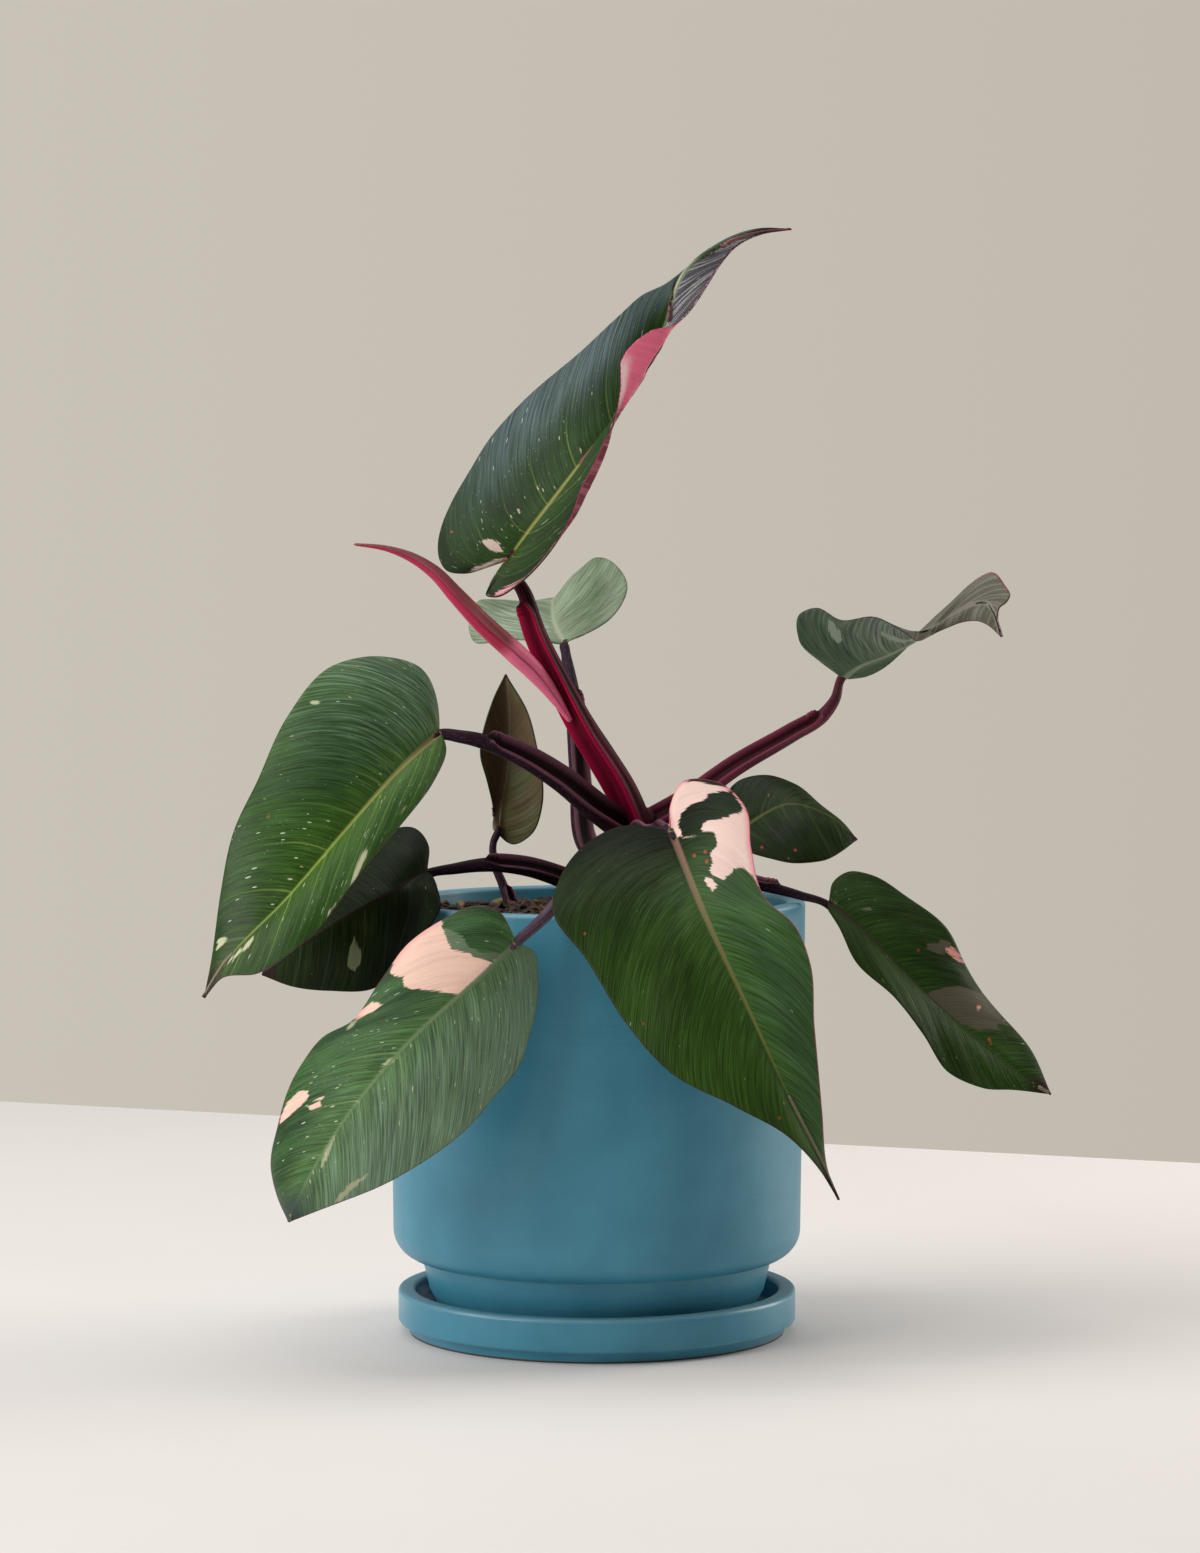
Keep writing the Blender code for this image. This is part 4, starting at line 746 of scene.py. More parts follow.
def blade_upper(name, look, rib_length, veins):
    """Living leaf, upper face: a waxy semi-gloss skin over green flesh. Its side veins sweep out from the
    midrib, fine ripples run along them, and patches without green show pink, cream or grey-green."""
    made, tree, shader = new_material(name + "_waxy_upper_face")
    grain, vein_place, run, rib_gap, edge_gap, side = blade_fields(tree)
    start = sum(ord(letter) for letter in name)

    # Noise drawn out along the veins: clouds about 25 mm across, ripples about 0.5 mm wide, a painted sheen
    # in streaks of about 1 mm, torn patch edges, painted shade and highlight of wrinkles between the veins,
    # and the lines near a pale tip
    noise = {}
    for kind, shift, stretch, detail in (("cloud", (start, 0, 0), (0.05, 0.035, 0.02), 3.0),
                                         ("ripple", (start, 0, 0), (2.2, 0.13, 0.0), 4.0),
                                         ("painted_sheen", (start, 3, 0), (1.1, 0.07, 0.0), 5.0),
                                         ("torn", (0, start, 0), (0.9, 0.12, 0.0), 4.0),
                                         ("painted_wrinkle_shade", (3, start, 0), (1.7, 0.09, 0.0), 4.0),
                                         ("tip", (0, 0, 0), (0.9, 0.06, 0.0), 2.0)):
        drawn_out = add(tree, "Mapping", {0: grain, 1: shift, 3: stretch})
        noise[kind] = add(tree, "TexNoise", {"Vector": drawn_out, "Scale": 1.0, "Detail": detail})
    # Cells of leaf skin, drawn as coarse as the render shows, about 0.7 mm
    skin = add(tree, "TexNoise", {"Vector": grain, "Scale": 1.5, "Detail": 2.0})

    cloud = add(tree, "MapRange", {0: noise["cloud"], 1: 0.38, 2: 0.62})
    streak = add(tree, "MapRange", {0: noise["ripple"], 1: 0.45, 2: 0.72, 4: 0.6})
    dark_streak = add(tree, "MapRange", {0: noise["ripple"], 1: 0.5, 2: 0.3, 4: 0.6})
    beside_rib = add(tree, "MapRange", {0: rib_gap, 1: 13.0, 2: 0.0, 4: 0.6}, SMOOTH)
    half = add(tree, "MapRange", {0: side, 1: -0.05 * look["half_side"], 2: 0.05 * look["half_side"],
                                  4: look["half_share"]})
    # Painted sheen: pale streaks that stand for the reflection of the lights on the waxy skin, set in across
    # and along the blade
    painted_sheen = add(tree, "MapRange", {0: noise["painted_sheen"], 1: 0.62 - 0.4 * look["painted_sheen_share"], 2: 0.66,
                                  3: 0.35 * look["painted_sheen_share"] * look["painted_sheen"], 4: look["painted_sheen"]})
    for across, start_at, end_at, least in ((side, look["painted_sheen_from"], look["painted_sheen_to"], 0.05),
                                            (run, look["painted_sheen_low"], look["painted_sheen_high"], 0.0)):
        reach = add(tree, "MapRange", {0: across, 1: start_at, 2: end_at, 3: least}, SMOOTH)
        painted_sheen = add(tree, "Math", {0: painted_sheen, 1: reach}, TIMES)

    # Side veins: thin lines at even steps of the vein coordinate, swayed a little, fading outwards
    swayed = add(tree, "Math", {0: noise["cloud"], 1: 3.0, 2: vein_place}, TIMES_PLUS)
    counted = add(tree, "Math", {0: swayed, 1: rib_length / veins / 2}, {"operation": "PINGPONG"})
    vein = add(tree, "MapRange", {0: counted, 1: 0.42, 2: 0.08}, SMOOTH)
    for fade in (add(tree, "MapRange", {0: rib_gap, 1: 18.0, 2: 1.0, 3: 0.03, 4: look["vein_share"]}),
                 add(tree, "MapRange", {0: noise["cloud"], 1: 0.35, 2: 0.65, 3: 0.35, 4: 1.2})):
        vein = add(tree, "Math", {0: vein, 1: fade}, TIMES)

    # Patch edges are torn along the veins: the outline moves in and out by about a millimetre
    shift = add(tree, "Math", {0: noise["torn"], 1: 2.6, 2: -1.3}, TIMES_PLUS)
    patches = {}
    for kind, inset in (("pink", 0.0), ("cream", 0.3), ("grey", 0.0)):
        depth = add(tree, "Attribute", settings={"attribute_name": kind}).outputs["Fac"]
        ragged = add(tree, "Math", {0: depth, 1: shift}, {"operation": "ADD"})
        patches[kind] = add(tree, "MapRange", {0: ragged, 1: inset - 0.15, 2: inset + 0.2})
    rust_depth = add(tree, "Attribute", settings={"attribute_name": "rust"}).outputs["Fac"]
    rust = add(tree, "MapRange", {0: rust_depth, 1: -0.2, 2: 0.3, 4: 0.85})

    # Pale dashes along the veins, in clusters: cells of 1 by 4 mm and of 0.5 by 1 mm, of which a share
    # holds a dash of its own size
    crowd = add(tree, "MapRange", {0: noise["cloud"], 1: 0.4, 2: 0.6, 3: 0.25, 4: 1.3})
    dashes = []
    for cell, kept in (((0.85, 0.26, 0.0), 0.3), ((2.0, 0.9, 0.0), 0.16)):
        laid_out = add(tree, "Mapping", {0: grain, 1: (start, start, 0), 3: cell})
        cells = add(tree, "TexVoronoi", {"Vector": laid_out, "Scale": 1.0})
        luck, length = add(tree, "SeparateColor", {0: cells.outputs["Color"]}).outputs[:2]
        size = add(tree, "Math", {0: length, 1: 0.13, 2: 0.06}, TIMES_PLUS)
        inside = add(tree, "Math", {0: cells.outputs["Distance"], 1: size}, {"operation": "LESS_THAN"})
        odds = add(tree, "Math", {0: crowd, 1: look["specks"] * kept}, TIMES)
        chosen = add(tree, "Math", {0: luck, 1: odds}, {"operation": "LESS_THAN"})
        dashes.append(add(tree, "Math", {0: inside, 1: chosen}, TIMES))

    # Grey-purple upper face near the tip of one half, with whitish lines along the veins
    zone_run = add(tree, "MapRange", {0: run, 1: look["zone_from"], 2: look["zone_from"] + 5.0}, SMOOTH)
    zone_side = add(tree, "MapRange", {0: side, 1: 0.02, 2: 0.1})
    zone = add(tree, "Math", {0: zone_run, 1: zone_side}, TIMES)
    zone_line = add(tree, "MapRange", {0: noise["tip"], 1: 0.48, 2: 0.62})
    zone_colour = add(tree, "Mix", {0: zone_line, 6: "62606A", 7: "BCBABE"}, RGBA).outputs[2]

    rib_half = add(tree, "MapRange", {0: run, 1: 0.0, 2: 100.0, 3: look["rib_start"], 4: look["rib_end"]})
    off_rib = add(tree, "Math", {0: rib_gap, 1: rib_half}, {"operation": "SUBTRACT"})
    rib_there = add(tree, "MapRange", {0: run, 1: look["rib_stop"] + 4.0, 2: look["rib_stop"], 4: 0.95})
    rib = add(tree, "MapRange", {0: off_rib, 1: 0.3, 2: -0.3, 4: rib_there})
    rib_run = add(tree, "MapRange", {0: run, 1: look["rib_turn"][0], 2: look["rib_turn"][1]})
    rib_colour = add(tree, "Mix", {0: rib_run, 6: look["rib_base"], 7: look["rib_tip"]}, RGBA).outputs[2]
    outer, inner = look["margin_width"] - 0.3, look["margin_width"] + 0.2
    margin = add(tree, "MapRange", {0: edge_gap, 1: inner, 2: outer})
    tip = add(tree, "MapRange", {0: run, 1: 91.0, 2: 98.0}, SMOOTH)

    # Pink patches: pale in the middle and deeper towards the margin, with fine streaks
    blush = add(tree, "MapRange", {0: edge_gap, 1: 2.2, 2: 0.3, 4: 0.7}, SMOOTH)
    pink = look["pink"]
    for mask, over in ((streak, look["pink_pale"]), (blush, look["pink_deep"])):
        pink = add(tree, "Mix", {0: mask, 6: pink, 7: over}, RGBA).outputs[2]
    one_side = add(tree, "Math", {0: side, 1: 0.0}, {"operation": "GREATER_THAN"})
    edge = look["margin"]
    for mask, over in ((one_side, look["margin_right"]), (patches["pink"], look["pink_margin"])):
        edge = add(tree, "Mix", {0: mask, 6: edge, 7: over}, RGBA).outputs[2]

    # Painted shade: a dark green laid over one part of some blades along their length
    shade = add(tree, "MapRange", {0: run, 1: look["shade_run"][0], 2: look["shade_run"][1],
                                   4: look["painted_shade"]}, SMOOTH)
    # Painted shade and highlight: the colour is darkened and lightened in fine streaks, as wrinkles between
    # the veins look in light
    painted_wrinkle_shade = add(tree, "MapRange", {0: noise["painted_wrinkle_shade"], 1: 0.35, 2: 0.65, 3: 1.0 - 0.4 * look["wrinkle_shading"],
                                     4: 1.0 + 0.4 * look["wrinkle_shading"]})
    colour = look["deep"]
    for mask, over in ((cloud, look["mid"]), (half, look["half"]), (beside_rib, look["fresh"]),
                       (streak, look["mid"]), (dark_streak, look["deep"]), (painted_sheen, look["painted_sheen_colour"]),
                       (shade, "0D150A")):
        colour = add(tree, "Mix", {0: mask, 6: colour, 7: over}, RGBA).outputs[2]
    colour = add(tree, "Mix", {0: 1.0, 6: colour, 7: painted_wrinkle_shade}, {**RGBA, "blend_type": "MULTIPLY"}).outputs[2]
    for mask, over in ((vein, look["vein"]), (zone, zone_colour), (patches["grey"], look["grey"]),
                       (patches["cream"], look["cream"]), (dashes[0], "BCC6AC"), (dashes[1], "8FA088"),
                       (patches["pink"], pink), (rib, rib_colour), (rust, "C4562E"), (margin, edge),
                       (tip, look["tip"])):
        colour = add(tree, "Mix", {0: mask, 6: colour, 7: over}, RGBA).outputs[2]

    gloss = add(tree, "MapRange", {0: skin, 1: 0.3, 2: 0.7, 3: look["rough"], 4: look["rough"] + 0.12})
    sunk = add(tree, "Math", {0: vein, 1: -0.5, 2: noise["ripple"]}, TIMES_PLUS)
    height = add(tree, "Math", {0: skin, 1: 0.25, 2: sunk}, TIMES_PLUS)
    bump = add(tree, "Bump", {"Strength": 0.45, "Distance": 0.0004, "Height": height})
    fill(tree, shader, {"Base Color": colour, "Roughness": gloss, "IOR": 1.45,
                        "Specular IOR Level": look["shine"], "Normal": bump})
    return made


def blade_under(name, look, rib_length, veins):
    """Living leaf, underside: duller than the upper face and paler, with streaks along the side veins and
    a raised midrib."""
    made, tree, shader = new_material(name + "_matt_underside")
    grain, vein_place, run, rib_gap, edge_gap, side = blade_fields(tree)
    # Streaks along the veins, about 1.5 mm wide, and clouds about 25 mm across
    drawn_out = add(tree, "Mapping", {0: grain, 3: (0.6, 0.03, 0.0)})
    fine = add(tree, "TexNoise", {"Vector": drawn_out, "Scale": 1.0, "Detail": 5.0})
    widened = add(tree, "Mapping", {0: grain, 3: (0.04, 0.05, 0.02)})
    broad = add(tree, "TexNoise", {"Vector": widened, "Scale": 1.0, "Detail": 2.0})
    streak = add(tree, "MapRange", {0: fine, 1: 0.45, 2: 0.6})
    cloud = add(tree, "MapRange", {0: broad, 1: 0.35, 2: 0.65, 4: 0.4})
    patch = add(tree, "MapRange", {0: broad, 1: 0.45, 2: 0.6, 4: look["patchy"]})
    counted = add(tree, "Math", {0: vein_place, 1: rib_length / veins / 2}, {"operation": "PINGPONG"})
    vein = add(tree, "MapRange", {0: counted, 1: 0.7, 2: 0.1, 4: look["line"]}, SMOOTH)
    rib = add(tree, "MapRange", {0: rib_gap, 1: 1.1, 2: 0.6})
    margin = add(tree, "MapRange", {0: edge_gap, 1: 0.45, 2: 0.15})
    # A folded-in flap is pink with paler streaks, palest along the lower part of its free edge
    flap_run = add(tree, "MapRange", {0: run, 1: 47.0, 2: 53.0, 4: look["flap"]}, SMOOTH)
    flap_side = add(tree, "MapRange", {0: side, 1: 1.0, 2: 1.12})
    flap = add(tree, "Math", {0: flap_run, 1: flap_side}, TIMES)
    low_run = add(tree, "MapRange", {0: run, 1: 62.0, 2: 57.0}, SMOOTH)
    pale_side = add(tree, "MapRange", {0: side, 1: 1.5, 2: 1.85}, SMOOTH)
    pale_flap = add(tree, "Math", {0: low_run, 1: pale_side}, TIMES)
    flap_streak = add(tree, "MapRange", {0: fine, 1: 0.45, 2: 0.7, 4: 0.2})
    flap_colour = look["pink"]
    for mask, over in ((flap_streak, "EC9AAA"), (pale_flap, "F4CBD0")):
        flap_colour = add(tree, "Mix", {0: mask, 6: flap_colour, 7: over}, RGBA).outputs[2]
    # Part of one margin is red
    red = margin
    for reach in (add(tree, "MapRange", {0: run, 1: look["red_from"], 2: look["red_from"] + 4.0}),
                  add(tree, "MapRange", {0: run, 1: 84.0, 2: 80.0}),
                  add(tree, "Math", {0: side, 1: 0.5}, {"operation": "GREATER_THAN"})):
        red = add(tree, "Math", {0: red, 1: reach}, TIMES)
    colour = look["base"]
    for mask, over in ((streak, look["streak"]), (cloud, look["base"]), (patch, "525A30"),
                       (vein, look["rib"]), (flap, flap_colour), (rib, look["rib"]),
                       (margin, look["margin"]), (red, "A8304A")):
        colour = add(tree, "Mix", {0: mask, 6: colour, 7: over}, RGBA).outputs[2]
    bump = add(tree, "Bump", {"Strength": 0.4, "Distance": 0.0005, "Height": fine})
    fill(tree, shader, {"Base Color": colour, "Roughness": 0.5, "IOR": 1.45, "Specular IOR Level": 0.3,
                        "Normal": bump})
    return made


def round_piece(sides, rings, place):
    """A closed piece from a UV sphere: place(share of the length, angle) gives every point in mm."""
    start_piece()
    bpy.ops.mesh.primitive_uv_sphere_add(segments=sides, ring_count=rings, radius=1)
    thing = bpy.context.active_object
    ball = get_places(thing.data) * MM
    share = np.rint(np.arccos(np.clip(-ball[:, 2], -1, 1)) / math.pi * rings) / rings
    angle = np.arctan2(ball[:, 1], ball[:, 0])
    places, marks = place(share, angle)
    set_places(thing.data, places)
    for name, values in marks.items():
        put_attribute(thing.data, name, values)
    mend(thing, outwards=True)
    thing.data.shade_smooth()
    return thing


def tube_frames(path, share, towards):
    """Places and cross directions along a tube, the first of which leans towards a direction."""
    here = along(path, share)
    run = unit(along(path, share + 0.015) - along(path, share - 0.015))
    towards = np.array(towards, float)
    first = unit(towards - run * (run @ towards)[:, None])
    return here, first, np.cross(run, first)


def around(frames, angle, radius):
    """Places on a tube at those angles and radii."""
    here, first, second = frames
    return here + (first * np.cos(angle)[:, None] + second * np.sin(angle)[:, None]) * radius[:, None]


def rounded(radius, share, length, round_length):
    """Radii of a tube whose ends are rounded off."""
    edge = np.minimum(share, 1 - share) * length
    return radius * np.sqrt(np.clip(1 - np.clip(1 - edge / round_length, 0, 1) ** 2, 0, 1))


def petiole(name, finish):
    """A petiole: a round stalk whose lower part carries a sheath, two thin wings beside a deep groove
    that meet in a rounded lip."""
    spec = PETIOLES[name]
    leaf = LEAVES[name.replace("petiole", "leaf")]
    joint = np.array(leaf["rib"][0], float)
    sides = blade_place(leaf, np.array([0.15, 0.15]), np.array([-0.15, 0.15]))
    onward = along(leaf["rib"], np.array([0.04]))[0]
    below = unit(np.cross(sides[1] - sides[0], onward - joint)) * -1.0
    path = spec["path"] + [tuple(joint + below), tuple(onward + below * 1.2)]
    length = path_length(path)
    end = spec["sheath"] * path_length(spec["path"] + [tuple(joint)]) / length

    def place(share, angle):
        frames = tube_frames(path, share, spec["towards"])
        swing = np.abs(angle)
        sheath = smooth_step(end - share, 0.0, 1.6 / length)
        closing = np.sqrt(np.clip((end - share) * length / 5.0, 0.0, 1.0))
        crest = 0.1 + (WING_PLACE - 0.1) * closing
        base, middle, tip = spec["radii"]
        radius = np.interp(share, (0, end, 1 - 6.0 / length, 1 - 3.0 / length, 1),
                           (base, middle, tip * 1.02, tip * 1.1, 0.7))
        wing = np.exp(-(((swing - crest) / WING_SPREAD) ** 2)) * sheath
        inside = smooth_step(crest - swing, 0.0, 0.25) * sheath
        radius = radius + spec["wing"] * 1.05 * wing - (spec["groove"] + 0.3) * inside * closing
        radius = radius + 0.05 * np.sin(17 * angle + 9 * share) * (1 - sheath * 0.5)
        radius = rounded(radius, share, length, spec["radii"][2] * 0.8)
        grain = np.stack([share * length, angle * 3.0, np.zeros_like(share)], axis=1)
        return around(frames, angle, radius), {"grain": grain, "crest": smooth_step(wing, 0.75, 1.0),
                                               "inside": inside, "share": share}

    rings = max(PETIOLE_LEAST_RINGS, int(length * PETIOLE_RINGS))
    thing = round_piece(PETIOLE_SIDES, rings, place)
    thing.data.materials.append(finish)
    finish_piece(thing, name + "_sheathed", name)


def petiole_skin(name, base, streak, fleck, wing, inner, red):
    """Living petiole skin: smooth satin tissue, dark with pigment, with streaks along it, pale flecks, and
    a paler, translucent rim on the sheath."""
    made, tree, shader = new_material(name)
    grain = add(tree, "Attribute", settings={"attribute_name": "grain"}).outputs["Vector"]
    crest, inside, share = [add(tree, "Attribute", settings={"attribute_name": kind}).outputs["Fac"]
                            for kind in ("crest", "inside", "share")]
    # Streaks along the petiole, about 0.8 mm wide
    drawn_out = add(tree, "Mapping", {0: grain, 3: (0.05, 0.9, 0.0)})
    streaks = add(tree, "TexNoise", {"Vector": drawn_out, "Scale": 1.0, "Detail": 2.0})
    scattered = add(tree, "Mapping", {0: grain, 3: (0.9, 1.4, 0.0)})
    flecks = add(tree, "TexNoise", {"Vector": scattered, "Scale": 1.0, "Detail": 2.0})
    red_mask = add(tree, "MapRange", {0: share, 1: 0.75, 2: 0.1, 4: 0.6}, SMOOTH)
    fleck_mask = add(tree, "MapRange", {0: flecks, 1: 0.55, 2: 0.7, 4: 0.55})
    streak_mask = add(tree, "MapRange", {0: streaks, 1: 0.5, 2: 0.62, 4: 0.9})
    rim_mask = add(tree, "Math", {0: crest, 1: 0.85}, TIMES)
    colour = base
    for mask, over in ((red_mask, red), (fleck_mask, fleck), (streak_mask, streak), (inside, inner),
                       (rim_mask, wing)):
        colour = add(tree, "Mix", {0: mask, 6: colour, 7: over}, RGBA).outputs[2]
    bump = add(tree, "Bump", {"Strength": 0.2, "Distance": 0.0003, "Height": streaks})
    fill(tree, shader, {"Base Color": colour, "Roughness": 0.5, "IOR": 1.45, "Specular IOR Level": 0.08,
                        "Normal": bump})
    return made


def rolled_leaf(finish):
    """The newest leaf, rolled into a spike round itself, with the step of its last turn as a seam."""
    length = path_length(ROLL_PATH)
    stations, radii = zip(*ROLL_RADII)

    def place(share, angle):
        frames = tube_frames(ROLL_PATH, share, (0, -1, 0))
        seam = 0.25 - 0.5 * share
        turn = np.mod(angle - seam, 2 * math.pi) / (2 * math.pi)
        radius = np.interp(share, stations, radii) * (0.9 + 0.12 * turn)
        gap = np.minimum(turn, 1 - turn) * 2 * math.pi
        radius = radius * (1 - 0.08 * np.exp(-((gap / 0.12) ** 2)))
        radius = radius * (1 + 0.012 * np.sin(11 * angle + 20 * share))
        radius = rounded(radius, share, length, 0.6)
        grain = np.stack([share * length, angle * 3.0, np.zeros_like(share)], axis=1)
        return around(frames, angle, radius), {"grain": grain, "seam": np.exp(-((gap / 0.1) ** 2)),
                                               "turn": turn, "share": share}

    thing = round_piece(*ROLL_FINENESS, place)
    thing.data.materials.append(finish)
    finish_piece(thing, "leaf_new_spike", "leaf_new_rolled")


def rolled_leaf_skin():
    """The new leaf's outer face: satin skin, red-brown at the tip and pink towards the sheath, with a dark
    seam where it laps over itself."""
    made, tree, shader = new_material("new_leaf_satin_pink")
    grain = add(tree, "Attribute", settings={"attribute_name": "grain"}).outputs["Vector"]
    seam, turn, share = [add(tree, "Attribute", settings={"attribute_name": kind}).outputs["Fac"]
                         for kind in ("seam", "turn", "share")]
    # Streaks along the roll, about 1 mm wide
    drawn_out = add(tree, "Mapping", {0: grain, 3: (0.06, 0.7, 0.0)})
    streaks = add(tree, "TexNoise", {"Vector": drawn_out, "Scale": 1.0, "Detail": 4.0})
    streak_mask = add(tree, "MapRange", {0: streaks, 1: 0.4, 2: 0.7, 4: 0.7})
    lower_band = add(tree, "MapRange", {0: turn, 1: 0.52, 2: 0.48, 4: 0.85})
    edge_gap = add(tree, "Math", {0: turn, 1: 0.25, 2: 0.045}, {"operation": "COMPARE"})
    pink_run = add(tree, "MapRange", {0: share, 1: 0.62, 2: 0.68, 4: 0.9}, SMOOTH)
    colour = "844046"
    for mask, over in ((streak_mask, "9E5E60"), (lower_band, "B42A50"), (edge_gap, "E0486E"),
                       (pink_run, "EA7496"), (seam, "8A3048")):
        colour = add(tree, "Mix", {0: mask, 6: colour, 7: over}, RGBA).outputs[2]
    bump = add(tree, "Bump", {"Strength": 0.35, "Distance": 0.0004, "Height": streaks})
    fill(tree, shader, {"Base Color": colour, "Roughness": 0.45, "IOR": 1.45, "Specular IOR Level": 0.15,
                        "Normal": bump})
    return made


def stem():
    """The short climbing stem: ringed at its nodes, where old sheaths have left scars."""
    length = path_length(STEM_PATH)

    def place(share, angle):
        frames = tube_frames(STEM_PATH, share, (1, 0, 0))
        radius = np.interp(share, (0, 0.6, 1), STEM_RADII)
        ring = np.zeros_like(share)
        for scar in (0.3, 0.47, 0.6, 0.74, 0.86):
            ring = np.maximum(ring, np.exp(-(((share - scar) * length / 0.8) ** 2)))
        radius = radius + 0.25 * ring + 0.12 * np.sin(7 * angle + 13 * share)
        radius = rounded(radius, share, length, 4.0)
        grain = np.stack([share * length, angle * 5.0, np.zeros_like(share)], axis=1)
        return around(frames, angle, radius), {"grain": grain, "crest": ring,
                                               "inside": np.zeros_like(share), "share": share}

    thing = round_piece(*STEM_FINENESS, place)
    thing.data.materials.append(petiole_skin("stem_satin_skin", "3A2A2C", "4A2A34", "6A5A50", "7A6A58",
                                             "2A1418", "4A2028"))
    finish_piece(thing, "main_stem_ringed", "main_stem")


def select_faces(thing, test):
    """Selects the faces whose centre, in mm, passes the test."""
    bpy.ops.mesh.select_mode(type="FACE")
    bpy.ops.mesh.select_all(action="DESELECT")
    shell = bmesh.from_edit_mesh(thing.data)
    for face in shell.faces:
        if test(face.calc_center_median() / MM, face.normal):
            face.select_set(True)
    bmesh.update_edit_mesh(thing.data)


def select_ring(thing, radius, height, more=False):
    """Selects the edges that run round the axis at that radius and height, alone or with what is selected."""
    if not more:
        bpy.ops.mesh.select_mode(type="EDGE")
        bpy.ops.mesh.select_all(action="DESELECT")
    shell = bmesh.from_edit_mesh(thing.data)
    for edge in shell.edges:
        ends = [vertex.co / MM for vertex in edge.verts]
        if all(abs(p.z - height) < NEAR and abs(math.hypot(p.x, p.y) - radius) < NEAR for p in ends):
            edge.select_set(True)
    bmesh.update_edit_mesh(thing.data)


def cap(height, up):
    """A test for the flat round face at that height that looks up or down."""
    facing = 1 if up else -1
    return lambda centre, normal: (abs(centre.z - height) < NEAR and normal.z * facing > 0.9
                                   and math.hypot(centre.x, centre.y) < 1.0)


def step_cap(radius, new_radius, rise):
    """Moves the selected round face in or out to a new radius, then along the axis as a new step."""
    if radius != new_radius:
        bpy.ops.mesh.inset(thickness=(radius - new_radius) * MM, depth=0)
    if rise:
        bpy.ops.mesh.extrude_region_move(TRANSFORM_OT_translate={"value": (0, 0, rise * MM)})


def bevel_rings(thing, rings):
    """Rounds the edges at each radius and height by a width, in so many segments."""
    for radius, height, width, segments in rings:
        select_ring(thing, radius, height)
        bpy.ops.mesh.bevel(offset=width * MM, segments=segments, profile=0.5, affect="EDGES")


def resize_selected(factor):
    bpy.ops.transform.resize(value=(factor, factor, 1), center_override=(0, 0, 0))


def start_drum(radius, low, high):
    start_piece()
    bpy.ops.mesh.primitive_cylinder_add(vertices=ROUND_STEPS, radius=radius * MM, depth=(high - low) * MM,
                                        location=(0, 0, (high + low) / 2 * MM))
    thing = bpy.context.active_object
    bpy.ops.object.transform_apply(location=True, rotation=True, scale=True)
    bpy.ops.object.mode_set(mode="EDIT")
    return thing


def close_turned(thing, finish, name, node):
    bpy.ops.object.mode_set(mode="OBJECT")
    mend(thing, merge=0.005, outwards=True)
    bpy.ops.object.shade_smooth_by_angle(angle=math.radians(SMOOTH_UP_TO))
    thing.data.materials.append(finish)
    finish_piece(thing, name, node)


def turned_pot(finish):
    """The pot: a drum drawn in to a foot below and hollowed from above."""
    thing = start_drum(POT_RIM_RADIUS, POT_BODY_BOTTOM, POT_TOP)
    select_faces(thing, cap(POT_BODY_BOTTOM, False))
    resize_selected(POT_LOW_RADIUS / POT_RIM_RADIUS)
    step_cap(POT_LOW_RADIUS, FOOT_TOP_RADIUS, FOOT_MIDDLE[1] - POT_BODY_BOTTOM)
    resize_selected(FOOT_MIDDLE[0] / FOOT_TOP_RADIUS)
    step_cap(0, 0, FOOT_BOTTOM - FOOT_MIDDLE[1])
    resize_selected(FOOT_RADIUS / FOOT_MIDDLE[0])
    step_cap(FOOT_RADIUS, FOOT_RADIUS - FOOT_WALL, FOOT_RECESS)
    recess = FOOT_BOTTOM + FOOT_RECESS
    floor = recess + POT_WALL
    step_cap(FOOT_RADIUS - FOOT_WALL, DRAIN_RADIUS, 0)
    bpy.ops.mesh.delete(type="FACE")
    select_faces(thing, cap(POT_TOP, True))
    inner = POT_RIM_RADIUS - POT_WALL
    low_inner = POT_LOW_RADIUS - POT_WALL - 1.0
    foot_inner = FOOT_TOP_RADIUS - FOOT_WALL
    shoulder = POT_BODY_BOTTOM + POT_CORNER + POT_SHOULDER
    step_cap(POT_RIM_RADIUS, inner, shoulder - POT_TOP)
    resize_selected(low_inner / inner)
    step_cap(0, 0, -2 * POT_SHOULDER)
    resize_selected(foot_inner / low_inner)
    step_cap(0, 0, floor - shoulder + 2 * POT_SHOULDER)
    resize_selected(POT_CAVITY_LOW / foot_inner)
    step_cap(POT_CAVITY_LOW, DRAIN_RADIUS, 0)
    bpy.ops.mesh.delete(type="FACE")
    select_ring(thing, DRAIN_RADIUS, floor)
    select_ring(thing, DRAIN_RADIUS, recess, more=True)
    bpy.ops.mesh.bridge_edge_loops()
    bevel_rings(thing, [(POT_RIM_RADIUS, POT_TOP, RIM_ROUND, 5), (inner, POT_TOP, RIM_ROUND, 5),
                        (POT_LOW_RADIUS, POT_BODY_BOTTOM, POT_CORNER, 10),
                        (FOOT_RADIUS, FOOT_BOTTOM, FOOT_EASE, 3)])
    close_turned(thing, finish, "pot_glazed", "pot")


